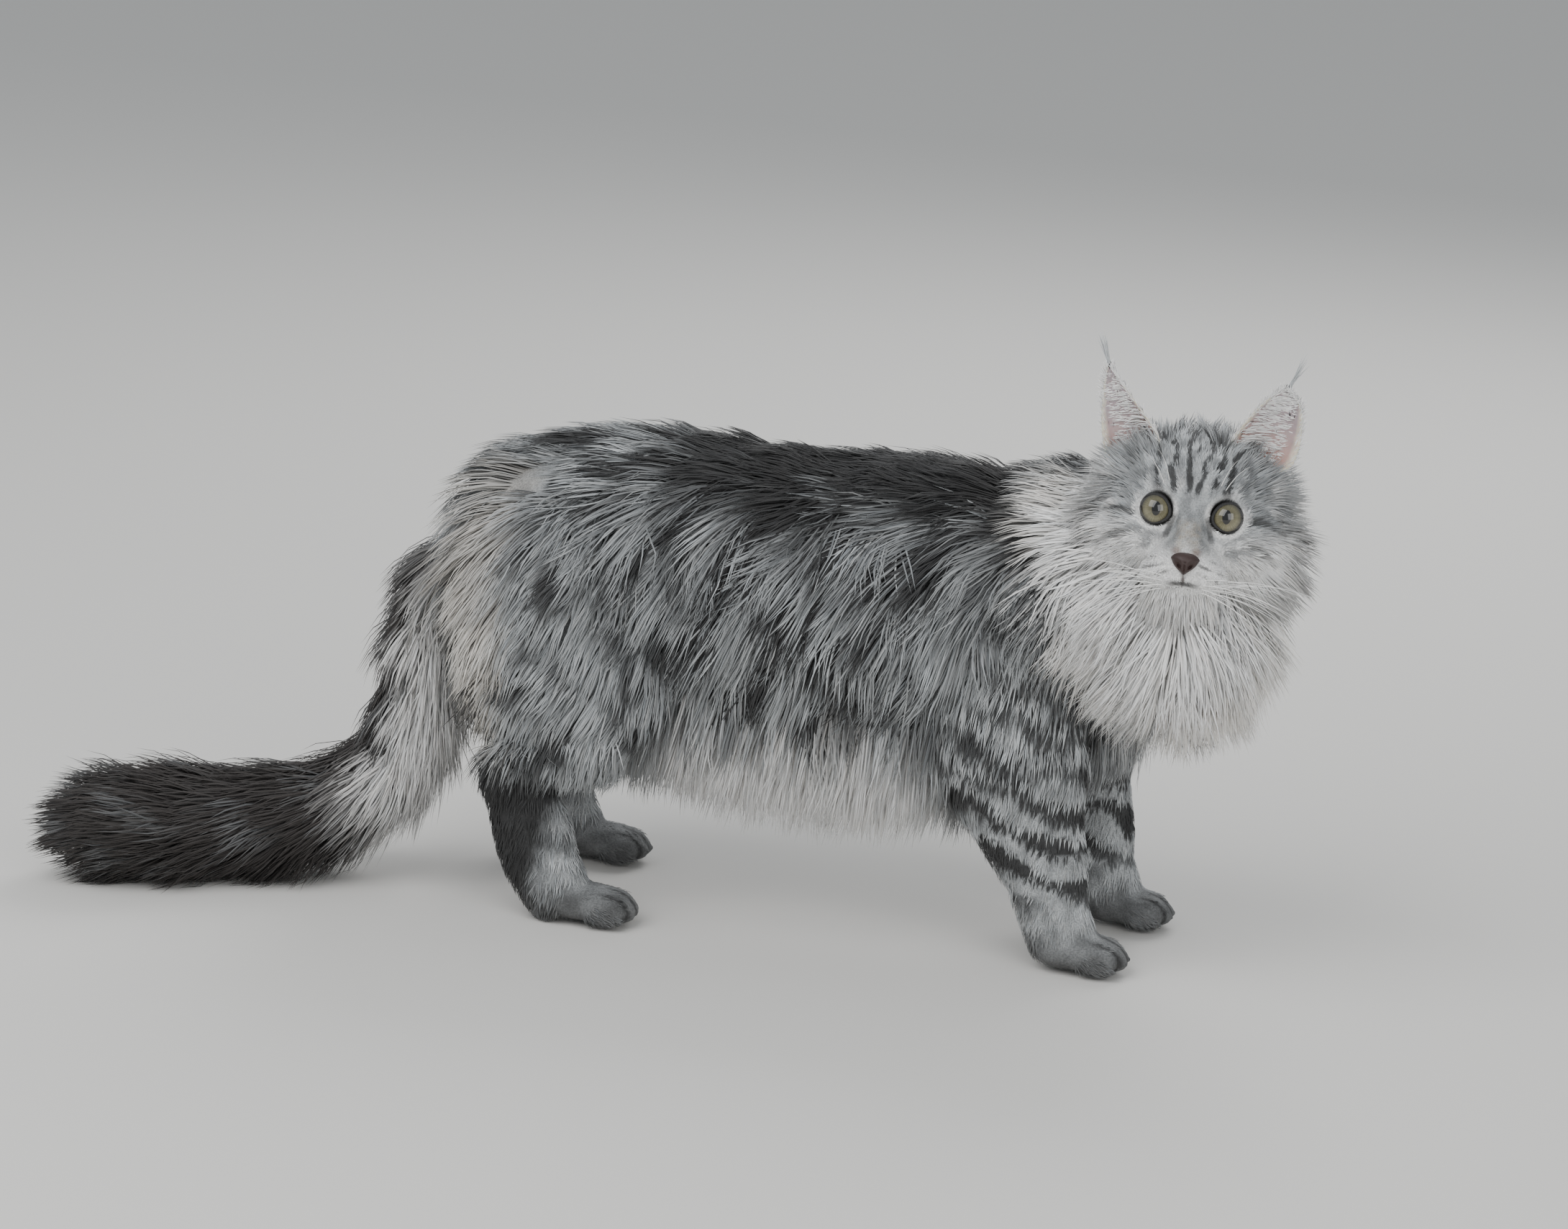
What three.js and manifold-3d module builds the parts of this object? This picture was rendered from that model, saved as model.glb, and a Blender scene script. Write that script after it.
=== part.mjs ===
// A standing maine coon cat, life size, in millimetres: +X is forward along its body, +Y its left, +Z up.
// The origin is on the floor under the middle of the whole figure. The cat stands on four paws with its tail
// laid on the floor behind it, and looks over its right shoulder. Flesh and short coat are smooth forms; the
// long coat (ruff, flanks, belly, breeches, tail, ear tips) is flat tapered locks rooted in those forms.
import * as THREE from "three";
import Module from "manifold-3d";

const wasm = await Module();
wasm.setup();

// driving sizes
const GAP = 0.3; // clearance between nodes that touch
const ORIGIN = new THREE.Vector3(-132, 2, 0); // middle of the whole figure, in the frame of the sizes below
const FORE_FOOT_RIGHT = { x: 138, y: -54 };
const FORE_FOOT_LEFT = { x: 150, y: 52 };
const HIND_FOOT_RIGHT = { x: -166, y: -60 };
const HIND_FOOT_LEFT = { x: -192, y: 76 };
const PAW_LENGTH = 62;
const PAW_WIDTH = 44;
const EYE_SPACING = 41.4; // between pupils
const EYEBALL_RADIUS = 10.6;
const EYE_MIDDLE = new THREE.Vector3(192, -80, 294); // between the eyes, at the front of the eyeballs
const FACE_FORWARD = new THREE.Vector3(0.12, -0.968, 0.219);
const HEAD_TILT = THREE.MathUtils.degToRad(3.7); // its left eye is the lower one
const EAR_CUP = 15; // how deep an ear is hollowed between its edges, at the root
const EAR_THICKNESS = 2.6;
const EAR_TUFT = 32;
const STAND = 0.24; // how far the long coat stands off the flesh, as a share of its length
const TAIL_CUTS = [0.36, 0.66]; // where the tail is parted, as shares of its length

const V = (x, y, z) => new THREE.Vector3(x, y, z);
const UP = V(0, 0, 1);
const FORWARD = V(1, 0, 0);
const { lerp, clamp, smoothstep } = THREE.MathUtils;

// A repeatable random number from 0 to 1.
function randomFrom(seed) {
  let state = seed >>> 0;
  return () => {
    state = (state + 0x6d2b79f5) >>> 0;
    let t = Math.imul(state ^ (state >>> 15), 1 | state);
    t = (t + Math.imul(t ^ (t >>> 7), 61 | t)) ^ t;
    return ((t ^ (t >>> 14)) >>> 0) / 4294967296;
  };
}

// Joins and cuts: a BufferGeometry as a solid and back.
function toSolid(geometry) {
  const triVerts = new Uint32Array(geometry.index.array);
  const vertProperties = new Float32Array(geometry.getAttribute("position").array);
  const made = () => new wasm.Manifold(new wasm.Mesh({ numProp: 3, vertProperties, triVerts }));
  const solid = made();
  if (solid.volume() > 0) return solid;
  for (let i = 0; i < triVerts.length; i += 3) triVerts.subarray(i, i + 2).reverse();
  return made();
}

function toGeometry(solid) {
  const mesh = solid.getMesh();
  const points = new Float32Array(mesh.numVert * 3);
  for (let i = 0; i < mesh.numVert; i++)
    points.set(mesh.vertProperties.subarray(i * mesh.numProp, i * mesh.numProp + 3), i * 3);
  return new THREE.BufferGeometry()
    .setAttribute("position", new THREE.BufferAttribute(points, 3))
    .setIndex(new THREE.BufferAttribute(new Uint32Array(mesh.triVerts), 1));
}

const join = (solids) => wasm.Manifold.union(solids);

// The largest closed surface of a solid: hollows sealed by joining are filled and loose scraps dropped.
function largest(solid) {
  const parts = solid.decompose();
  return parts.reduce((best, part) => (part.volume() > best.volume() ? part : best), parts[0]);
}

const cutClear = (solid, others) => largest(others.length ? solid.subtract(join(others)) : solid);

// A closed surface from rings of points: ring(u, angle) gives a point, and both ends are poles.
function ringed(along, around, ring) {
  const points = [ring(0, 0)];
  for (let i = 1; i < along; i++)
    for (let j = 0; j < around; j++) points.push(ring(i / along, (j / around) * 2 * Math.PI));
  points.push(ring(1, 0));
  const at = (i, j) => 1 + (i - 1) * around + (j % around);
  const last = points.length - 1;
  const faces = [];
  for (let j = 0; j < around; j++) {
    faces.push(0, at(1, j + 1), at(1, j));
    for (let i = 1; i < along - 1; i++)
      faces.push(at(i, j), at(i, j + 1), at(i + 1, j + 1), at(i, j), at(i + 1, j + 1), at(i + 1, j));
    faces.push(last, at(along - 1, j), at(along - 1, j + 1));
  }
  return new THREE.BufferGeometry().setFromPoints(points).setIndex(faces);
}

const smoothCurve = (points) => new THREE.CatmullRomCurve3(points, false, "catmullrom");

// A tube form: stations [x, y, z, half side, half up] joined by smooth curves. Its ends are rounded off, and
// "up" says which way the second radius lies.
class Tube {
  constructor(stations, up = UP, roundStart = 0.12, roundEnd = 0.12) {
    this.path = smoothCurve(stations.map((s) => V(s[0], s[1], s[2])));
    this.sizes = smoothCurve(stations.map((s) => V(s[3], s[4], 0)));
    this.up = up;
    this.roundStart = roundStart;
    this.roundEnd = roundEnd;
  }

  frame(u) {
    const tangent = this.path.getTangent(clamp(u, 0.001, 0.999));
    const side = V().crossVectors(this.up, tangent).normalize();
    return { tangent, side, rise: V().crossVectors(tangent, side) };
  }

  // the point on the surface at u along and an angle round from the side, with the coat's own depth added
  point(u, angle, grow = 0) {
    const { side, rise, tangent } = this.frame(u);
    const size = this.sizes.getPoint(u);
    const fromStart = Math.min(u / this.roundStart, 1);
    const fromEnd = Math.min((1 - u) / this.roundEnd, 1);
    const dome = (share) => Math.sqrt(Math.max(0, 1 - (1 - share) ** 2));
    const round = dome(fromStart) * dome(fromEnd);
    const push = grow * (u < 0.5 ? -(1 - fromStart) : 1 - fromEnd);
    return this.path
      .getPoint(u)
      .addScaledVector(tangent, push)
      .addScaledVector(side, Math.cos(angle) * (size.x + grow) * round)
      .addScaledVector(rise, Math.sin(angle) * (size.y + grow) * round);
  }

  normal(u, angle) {
    const step = 0.01;
    const alongIt = this.point(Math.min(u + step, 1), angle).sub(this.point(Math.max(u - step, 0), angle));
    const roundIt = this.point(u, angle + step).sub(this.point(u, angle - step));
    return V().crossVectors(roundIt, alongIt).normalize();
  }

  geometry(along, around, grow = 0) {
    const eased = (u) => (1 - Math.cos(Math.PI * u)) / 2;
    return ringed(along, around, (u, angle) => this.point(lerp(u, eased(u), 0.75), -angle, grow));
  }
}

const ball = (centre, radii, across = 16, grow = 0) =>
  ringed(Math.round(across * 0.7), across, (u, angle) => {
    const lift = Math.sin(Math.PI * u);
    return V(
      centre.x + (radii.x + grow) * lift * Math.cos(angle),
      centre.y - (radii.y + grow) * lift * Math.sin(angle),
      centre.z - (radii.z + grow) * Math.cos(Math.PI * u),
    );
  });

// A flat lock of hair: three-sided, widest near the root and tapering to a point. It leaves the root along
// "lie", is lifted off the coat along "normal" and droops by "droop" towards its tip.
function lockGeometry(lock, grow = 0) {
  const { root, normal, lie, length, width, thickness, lift, droop, sink } = lock;
  const side = V().crossVectors(normal, lie).normalize();
  const centre = (t) =>
    root
      .clone()
      .addScaledVector(normal, -sink * (1 - t) ** 2 + lift * Math.sin(Math.PI * Math.min(t * 0.62, 0.5)))
      .addScaledVector(lie, length * t)
      .addScaledVector(UP, -droop * t * t);
  const stations = [-0.08, 0.28, 0.56, 0.8];
  const shares = [0.72, 1, 0.88, 0.55];
  const points = [];
  stations.forEach((t, i) => {
    const middle = centre(t);
    const half = (width / 2) * shares[i] + grow;
    const rise = thickness * (0.45 + 0.55 * shares[i]) + grow;
    points.push(middle.clone().addScaledVector(side, half).addScaledVector(normal, -grow));
    points.push(middle.clone().addScaledVector(normal, rise));
    points.push(middle.clone().addScaledVector(side, -half).addScaledVector(normal, -grow));
  });
  const tip = centre(1).addScaledVector(lie, grow * 2);
  points.push(tip);
  const faces = [0, 1, 2];
  for (let i = 0; i < stations.length - 1; i++)
    for (let j = 0; j < 3; j++) {
      const a = 3 * i + j;
      const b = 3 * i + ((j + 1) % 3);
      faces.push(a, a + 3, b, b, a + 3, b + 3);
    }
  const last = 3 * (stations.length - 1);
  for (let j = 0; j < 3; j++) faces.push(last + j, last + 3, last + ((j + 1) % 3));
  return new THREE.BufferGeometry().setFromPoints(points).setIndex(faces);
}

// A node before it is parted from its neighbours: plain forms and locks, at a given clearance.
function coated(forms, locks) {
  const at = (grow) => join([...forms(grow), ...locks.map((lock) => toSolid(lockGeometry(lock, grow)))]);
  return { plain: at(0), grown: at(GAP) };
}

// Cuts a solid level with the floor, which gives it its flat where it rests.
const onFloor = (solid) => solid.trimByPlane([0, 0, 1], 0);

// Places locks over a tube: rows along it and columns round it, staggered and varied a little. "describe"
// turns a place into a lock's lie and sizes, or null where none grows.
function rowsOfLocks(tube, rows, columns, seed, describe, from = 0, to = 1) {
  const random = randomFrom(seed);
  const locks = [];
  for (let i = 0; i < rows; i++)
    for (let j = 0; j < columns; j++) {
      const u = lerp(from, to, (i + 0.5 + 0.3 * (random() - 0.5)) / rows);
      const angle = ((j + 0.5 * (i % 2) + 0.3 * (random() - 0.5)) / columns) * 2 * Math.PI;
      const root = tube.point(u, angle);
      const normal = tube.normal(u, angle);
      const vary = 0.88 + 0.24 * random();
      const told = describe({ u, angle, root, normal, vary, turn: random() - 0.5 });
      if (!told) continue;
      const lie = told.lie.clone();
      if (!told.free) {
        lie.addScaledVector(normal, -lie.dot(normal)).normalize();
        lie.addScaledVector(normal, STAND);
      }
      lie.normalize();
      const facing = normal.clone().addScaledVector(lie, -normal.dot(lie)).normalize();
      locks.push({ sink: 5, lift: 4, droop: 0, thickness: 4, ...told, root, normal: facing, lie });
    }
  return locks;
}

// Trunk: chest, barrel and rump under the coat.
const trunk = new Tube(
  [
    [-262, 0, 222, 20, 22],
    [-246, 0, 220, 50, 56],
    [-205, 0, 216, 64, 74],
    [-150, 0, 212, 66, 84],
    [-95, 0, 206, 68, 88],
    [-40, 0, 202, 71, 90],
    [15, 0, 203, 72, 90],
    [65, 0, 207, 69, 84],
    [110, 0, 214, 60, 70],
    [145, 0, 220, 46, 54],
    [168, 0, 224, 24, 30],
  ],
  UP,
  0.06,
  0.08,
);

// Neck: from between the shoulders up and round to the back of the turned head, with the bib of the chest.
const neck = new Tube(
  [
    [82, 0, 232, 50, 54],
    [112, -4, 236, 56, 60],
    [146, -14, 242, 56, 58],
    [172, -28, 252, 52, 52],
    [188, -40, 262, 44, 44],
  ],
  UP,
  0.1,
  0.14,
);
const bib = new Tube(
  [
    [160, -30, 262, 44, 30],
    [182, -44, 240, 46, 36],
    [184, -44, 214, 40, 34],
    [176, -38, 190, 26, 22],
  ],
  FORWARD,
  0.25,
  0.3,
);

// Forelegs and hind legs.
function foreleg({ x, y }) {
  const side = Math.sign(y);
  return new Tube(
    [
      [92, side * 40, 236, 24, 34],
      [84, side * 48, 196, 30, 46],
      [86, y, 150, 29, 46],
      [x - 44, y, 118, 27, 44],
      [x - 34, y, 88, 22, 34],
      [x - 24, y, 62, 19, 27],
      [x - 19, y, 40, 18, 23],
      [x - 12, y, 20, 18, 22],
      [x - 8, y, 8, 15, 18],
    ],
    FORWARD,
    0.1,
    0.1,
  );
}

function thigh({ x, y }) {
  const side = Math.sign(y);
  const back = (x - HIND_FOOT_RIGHT.x) * 0.4;
  return new Tube(
    [
      [-200, side * 34, 262, 20, 34],
      [-198 + back, side * 44, 226, 30, 52],
      [-188 + back, side * 52, 184, 32, 60],
      [-172 + back, y * 0.95, 146, 29, 56],
      [-160 + back, y, 112, 24, 42],
    ],
    FORWARD,
    0.12,
    0.22,
  );
}

const shank = ({ x, y }) =>
  new Tube(
    [
      [x + 22, y, 128, 22, 26],
      [x - 6, y, 116, 22, 26],
      [x - 36, y, 104, 19, 22],
      [x - 62, y, 100, 13, 15],
    ],
    UP,
    0.25,
    0.2,
  );

const hock = ({ x, y }) =>
  new Tube(
    [
      [x - 62, y, 112, 11, 12],
      [x - 54, y, 96, 15, 20],
      [x - 42, y, 66, 16, 25],
      [x - 34, y, 40, 17, 25],
      [x - 22, y, 18, 18, 22],
      [x - 14, y, 6, 15, 18],
    ],
    FORWARD,
    0.1,
    0.1,
  );

// A paw: the sole's pad and four toes side by side, the middle two further forward.
function pawForms({ x, y }, grow) {
  const forms = [toSolid(ball(V(x - 6, y, 12), V(PAW_LENGTH * 0.4, PAW_WIDTH * 0.46, 17), 12, grow))];
  const toeForward = [16, 23, 23, 16];
  toeForward.forEach((forward, i) => {
    const across = (i - 1.5) * PAW_WIDTH * 0.235;
    forms.push(toSolid(ball(V(x + forward - 4, y + across, 10.5), V(15, 7.4, 11.5), 8, grow)));
  });
  return forms;
}

// Tail: down from the rump, then laid back along the floor.
const tail = new Tube(
  [
    [-226, 0, 238, 16, 18],
    [-252, -1, 232, 17, 19],
    [-276, -2, 206, 18, 20],
    [-287, -3, 168, 19, 21],
    [-292, -4, 128, 20, 21],
    [-304, -8, 88, 21, 22],
    [-332, -17, 56, 23, 23],
    [-374, -32, 42, 25, 25],
    [-420, -52, 38, 27, 27],
    [-462, -70, 37, 25, 25],
    [-494, -82, 36, 12, 12],
  ],
  V(0, 1, 0),
  0.06,
  0.08,
);

// Head, in its own frame: +X out of the face, +Y its left, +Z up, from the point between the eyes.
const headFrame = new THREE.Matrix4();
{
  const out = FACE_FORWARD.clone().normalize();
  const level = V().crossVectors(UP, out).normalize();
  const rise = V().crossVectors(out, level);
  const left = level.clone().multiplyScalar(Math.cos(HEAD_TILT)).addScaledVector(rise, -Math.sin(HEAD_TILT));
  const top = V().crossVectors(out, left);
  headFrame.makeBasis(out, left, top).setPosition(EYE_MIDDLE);
}
const placed = (geometry) => geometry.applyMatrix4(headFrame);
const headPoint = (x, y, z) => V(x, y, z).applyMatrix4(headFrame);
const headWay = (x, y, z) => V(x, y, z).transformDirection(headFrame);

// the head's rounded masses: centre, then half sizes
const MASSES = [
  [-44, 0, 12, 46, 40, 37], // braincase
  [-22, 0, 13, 27, 28, 24], // forehead
  [-30, 27, -14, 30, 24, 26], // left cheek
  [-30, -27, -14, 30, 24, 26], // right cheek
  [0, 0, -30, 24, 20, 14], // muzzle
  [9, 13, -37, 13, 14.5, 10.5], // left whisker pad
  [9, -13, -37, 13, 14.5, 10.5], // right whisker pad
  [1, 0, -12, 22, 8, 15], // bridge of the nose
  [4, 0, -49, 12, 14, 8], // chin
];
const BLEND = 5;
const HEAD_CENTRE = V(-26, 0, -4);

// Distance-like value from the smoothly joined masses: below 0 inside.
function headField(p) {
  let sum = 0;
  for (const [x, y, z, a, b, c] of MASSES) {
    const share = Math.hypot((p.x - x) / a, (p.y - y) / b, (p.z - z) / c);
    sum += Math.exp((-(share - 1) * Math.min(a, b, c)) / BLEND);
  }
  return -BLEND * Math.log(sum) + BLEND * 0.35;
}

// The head's surface along a direction from its centre, found by halving.
function headSurface(direction, grow = 0) {
  let inside = 0;
  let outside = 90;
  const p = V();
  for (let i = 0; i < 24; i++) {
    const middle = (inside + outside) / 2;
    p.copy(HEAD_CENTRE).addScaledVector(direction, middle);
    if (headField(p) < grow) inside = middle;
    else outside = middle;
  }
  return p.clone();
}

// A ray from the head's centre, opened by "open" from straight ahead and turned by "round" about that way.
const headRay = (open, round) =>
  V(Math.cos(open), Math.sin(open) * Math.cos(round), Math.sin(open) * Math.sin(round));

const skullGeometry = (grow) =>
  placed(
    ringed(20, 24, (u, angle) => {
      const open = Math.PI * (0.62 * u + 0.38 * u * u);
      return headSurface(headRay(open, -angle), grow);
    }),
  );

const eyePlace = (side) => V(-EYEBALL_RADIUS + 1.2, (side * EYE_SPACING) / 2, 0);
const eyeball = (side, grow = 0) => {
  const r = EYEBALL_RADIUS;
  return toSolid(placed(ball(eyePlace(side), V(r, r, r), 16, grow)));
};

// The hollow of an eye socket, open to the front, so that the eyeball stands clear within its lids.
const socket = (side) => toSolid(placed(ball(eyePlace(side).add(V(12, 0, 0)), V(14, 10.4, 10.4), 16)));

// A lid: a ring of flesh round the eye's opening, thicker above.
function lidRing(side) {
  const centre = eyePlace(side);
  const out = V(Math.cos(0.36), side * Math.sin(0.36), 0.06).normalize();
  const left = V().crossVectors(UP, out).normalize();
  const top = V().crossVectors(out, left);
  const points = [];
  const faces = [];
  const around = 16;
  const section = 5;
  for (let i = 0; i < around; i++) {
    const a = (i / around) * 2 * Math.PI;
    const thick = 2.5 + 0.9 * Math.max(0, Math.sin(a));
    for (let j = 0; j < section; j++) {
      const b = (j / section) * 2 * Math.PI;
      const reach = 9.7 + thick * Math.cos(b);
      points.push(
        centre
          .clone()
          .addScaledVector(out, 3.9 + thick * Math.sin(b))
          .addScaledVector(left, reach * Math.cos(a))
          .addScaledVector(top, reach * Math.sin(a)),
      );
    }
  }
  const at = (i, j) => (i % around) * section + (j % section);
  for (let i = 0; i < around; i++)
    for (let j = 0; j < section; j++)
      faces.push(at(i, j), at(i + 1, j), at(i + 1, j + 1), at(i, j), at(i + 1, j + 1), at(i, j + 1));
  return toSolid(placed(new THREE.BufferGeometry().setFromPoints(points).setIndex(faces)));
}

// A groove cutter that follows the head's surface through the given directions.
function groove(rays, radius) {
  const stations = rays.map(([y, z]) => {
    const p = headSurface(V(30, y, z).sub(HEAD_CENTRE).normalize());
    return [p.x, p.y, p.z, radius, radius];
  });
  return toSolid(placed(new Tube(stations, V(0.3, 0.2, 1), 0.1, 0.1).geometry(12, 6)));
}

// The nose leather: a rounded triangle, wide above and narrow below, with two nostrils.
function noseSolid(grow = 0) {
  const geometry = ringed(8, 12, (u, angle) => {
    const across = Math.sin(Math.PI * u);
    const y = Math.cos(angle) * across;
    const z = -Math.sin(angle) * across;
    const narrow = z < 0 ? 1 + 0.62 * z : 1;
    return V(
      27 - (6.5 + grow) * Math.cos(Math.PI * u) - 2.2 * y * y,
      y * (8.4 + grow) * narrow,
      -30 + z * (6 + grow),
    );
  });
  return toSolid(placed(geometry));
}
const nostril = (side) => toSolid(placed(ball(V(33, side * 4.3, -30.5), V(4, 1.9, 1.5), 8)));

// An ear: a cupped leaf between an inner and an outer edge, each given as [out, left, up] in the head's frame
// from the root to the tip, and hollowed between them by EAR_CUP.
const EARS = {
  left: {
    side: 1,
    inner: [[-30, 17, 38], [-30, 19, 48], [-32, 31, 67], [-37, 40, 76], [-40, 45, 79]],
    outer: [[-40, 46, 26], [-40, 56, 38], [-40, 58, 58], [-40, 55, 72], [-40, 47, 79]],
  },
  right: {
    side: -1,
    inner: [[-28, -23, 34], [-28, -26, 44], [-32, -43, 63], [-37, -54, 75], [-40, -58, 80]],
    outer: [[-46, -47, 18], [-44, -55, 28], [-42, -60, 50], [-40, -61, 72], [-40, -60, 80]],
  },
};
for (const ear of Object.values(EARS))
  for (const edge of ["inner", "outer"])
    ear[edge] = smoothCurve(ear[edge].map((p) => V(...p)));

function earPoint(ear, across, up, depth) {
  const inner = ear.inner.getPoint(clamp(up, 0, 1));
  const outer = ear.outer.getPoint(clamp(up, 0, 1));
  const middle = inner.clone().lerp(outer, 0.5);
  const edge = ear.side > 0 ? outer.sub(inner) : inner.sub(outer);
  const back = V().crossVectors(edge, V(0, 0.3 * ear.side, 1)).normalize().negate();
  if (back.x > 0) back.negate();
  const hollow = EAR_CUP * (1 - across * across) * (1 - 0.7 * up) + depth;
  const p = middle.addScaledVector(edge, across / 2).addScaledVector(back, hollow);
  return headPoint(p.x, p.y, p.z);
}

// Both faces of the leaf from one grid, closed along its edges.
function earGeometry(ear, grow = 0) {
  const acrossSteps = 8;
  const upSteps = 6;
  const points = [];
  const faces = [];
  const half = EAR_THICKNESS / 2 + grow;
  for (const depth of [half, -half])
    for (let i = 0; i <= upSteps; i++)
      for (let j = 0; j <= acrossSteps; j++)
        points.push(earPoint(ear, lerp(-1, 1, j / acrossSteps) * (1 + grow / 20), i / upSteps, depth));
  const sheetSize = (upSteps + 1) * (acrossSteps + 1);
  const at = (face, i, j) => face * sheetSize + i * (acrossSteps + 1) + j;
  const quad = (a, b, c, d) => faces.push(a, b, c, a, c, d);
  for (let i = 0; i < upSteps; i++)
    for (let j = 0; j < acrossSteps; j++) {
      quad(at(0, i, j), at(0, i + 1, j), at(0, i + 1, j + 1), at(0, i, j + 1));
      quad(at(1, i, j), at(1, i, j + 1), at(1, i + 1, j + 1), at(1, i + 1, j));
    }
  for (let j = 0; j < acrossSteps; j++) {
    quad(at(0, 0, j), at(0, 0, j + 1), at(1, 0, j + 1), at(1, 0, j));
    quad(at(0, upSteps, j + 1), at(0, upSteps, j), at(1, upSteps, j), at(1, upSteps, j + 1));
  }
  const end = acrossSteps;
  for (let i = 0; i < upSteps; i++) {
    quad(at(0, i + 1, 0), at(0, i, 0), at(1, i, 0), at(1, i + 1, 0));
    quad(at(0, i, end), at(0, i + 1, end), at(1, i + 1, end), at(1, i, end));
  }
  return new THREE.BufferGeometry().setFromPoints(points).setIndex(faces);
}

// The tuft at an ear's tip, one long thin lock.
function earTuft(ear) {
  return {
    root: earPoint(ear, 0, 0.9, 0),
    normal: headWay(1, 0, 0.1),
    lie: headWay(-0.05, ear.side * 0.42, 1),
    length: EAR_TUFT,
    width: 7,
    thickness: 3,
    lift: 0,
    droop: 0,
    sink: 0,
  };
}

// How the long coat lies on the trunk: back along the spine, back and down the flanks, hanging at the belly.
function trunkLock({ root, normal, vary, turn }) {
  const low = smoothstep(-normal.z, -0.1, 0.75);
  const high = smoothstep(normal.z, 0.45, 0.95);
  const rump = smoothstep(-root.x, 190, 250);
  if (root.x > 125 || (low > 0.9 && Math.abs(root.y) < 8)) return null;
  const down = 0.9 * (1 - high) + 0.4 * low - 0.35 * rump * high;
  return {
    free: low > 0.6,
    lie: V(-0.55 - 0.7 * high - 0.5 * rump, 0.25 * turn, -down),
    length: (lerp(66, 50, high) - 8 * low) * vary,
    width: 34 * vary,
    lift: lerp(5, 3, high),
    droop: 4 * (1 - high),
  };
}
const trunkLocks = rowsOfLocks(trunk, 7, 9, 11, trunkLock, 0.02, 0.86);

// The ruff: out and down from the neck and throat.
function ruffLock({ root, normal, vary, turn }) {
  if (root.x < 104 && normal.z > -0.4) return null;
  const above = smoothstep(normal.z, 0.2, 0.8);
  if (above > 0.9) return null;
  return {
    lie: normal.clone().multiplyScalar(0.55).add(V(-0.1, -0.12 + 0.2 * turn, -0.9)),
    free: true,
    length: lerp(50, 30, above) * vary,
    width: 27 * vary,
    lift: 2,
    droop: 8,
  };
}
const ruffLocks = [
  ...rowsOfLocks(neck, 2, 9, 21, ruffLock, 0.45, 0.9),
  ...rowsOfLocks(bib, 3, 7, 22, ruffLock, 0.25, 0.95),
];

// The tail's plume: back along it, standing off and longest below.
function tailLock({ u, normal, vary, turn }) {
  const below = smoothstep(-normal.z, -0.2, 0.7);
  const tip = smoothstep(u, 0.72, 0.97);
  const lie = tail.frame(u).tangent.addScaledVector(normal, 0.36 + 0.1 * below);
  return {
    lie: lie.addScaledVector(UP, 0.1 * turn),
    free: true,
    length: lerp(52, 42, tip) * vary,
    width: 25 * vary,
    lift: 2,
    droop: 3,
    sink: 4,
  };
}

// The breeches: long hair down the back of each thigh.
function breechLock({ normal, vary, turn }) {
  if (normal.x > 0.15) return null;
  return {
    lie: V(-0.5, 0.15 * turn, -1),
    length: 50 * vary,
    width: 28 * vary,
    lift: 4,
    droop: 2,
  };
}

// The cheeks' long hair, back and out from the face.
function cheekLocks(side) {
  const locks = [];
  const random = randomFrom(side > 0 ? 31 : 32);
  for (let i = 0; i < 5; i++) {
    const down = i / 4;
    const direction = V(-0.1 - 0.1 * (i % 2), side, 0.35 - 1.0 * down).normalize();
    const p = headSurface(direction);
    const root = headPoint(p.x, p.y, p.z);
    const normal = headWay(0.5, side * (0.8 - 0.3 * down), -0.3 * down);
    const lie = headWay(-0.5, side * 0.75, -0.35 - 0.6 * down);
    const facing = normal.addScaledVector(lie, -normal.dot(lie)).normalize();
    const length = (26 + 10 * down) * (0.9 + 0.2 * random());
    locks.push({ root, normal: facing, lie, length, width: 17, thickness: 3.5, lift: 2, droop: 2, sink: 5 });
  }
  return locks;
}

// The fringe inside an ear, from its front edge across the cup.
function earFringe(ear) {
  return [0.22, 0.42, 0.6].map((up, i) => ({
    root: earPoint(ear, -ear.side * 0.62, up, 0.5),
    normal: headWay(1, 0, 0),
    lie: headWay(0.25, ear.side * 0.8, 0.62),
    length: 24 - 4 * i,
    width: 7,
    thickness: 2.2,
    lift: 1,
    droop: 0,
    sink: 0,
  }));
}

// Every node, from the head back, each cut clear of all those before it.
const solids = {};
const grown = {};

function addNode(name, forms, locks = [], finish = (s) => s) {
  const { plain, grown: wider } = coated(forms, locks);
  const before = [...Object.values(solids), ...Object.values(grown)];
  grown[name] = wider;
  solids[name] = largest(finish(cutClear(plain, before)));
}

addNode("eye_left", (grow) => [eyeball(1, grow)]);
addNode("eye_right", (grow) => [eyeball(-1, grow)]);
addNode("nose", (grow) => [noseSolid(grow)]);
solids.nose = cutClear(solids.nose, [nostril(1), nostril(-1)]);

const mouth = [
  groove([[0, -36], [0, -40], [0, -44]], 0.9),
  groove([[0, -43], [4, -45.5], [9, -46], [14, -43], [18, -38]], 1),
  groove([[0, -43], [-4, -45.5], [-9, -46], [-14, -43], [-18, -38]], 1),
];
addNode(
  "head",
  (grow) => [cutClear(toSolid(skullGeometry(grow)), [socket(1), socket(-1)]), lidRing(1), lidRing(-1)],
  [...cheekLocks(1), ...cheekLocks(-1)],
);
solids.head = cutClear(solids.head, mouth);

for (const [name, ear] of Object.entries(EARS))
  addNode(`ear_${name}`, (grow) => [toSolid(earGeometry(ear, grow))], [earTuft(ear), ...earFringe(ear)]);

addNode(
  "neck",
  (grow) => [toSolid(neck.geometry(8, 16, grow)), toSolid(bib.geometry(7, 14, grow))],
  ruffLocks,
);

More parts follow.
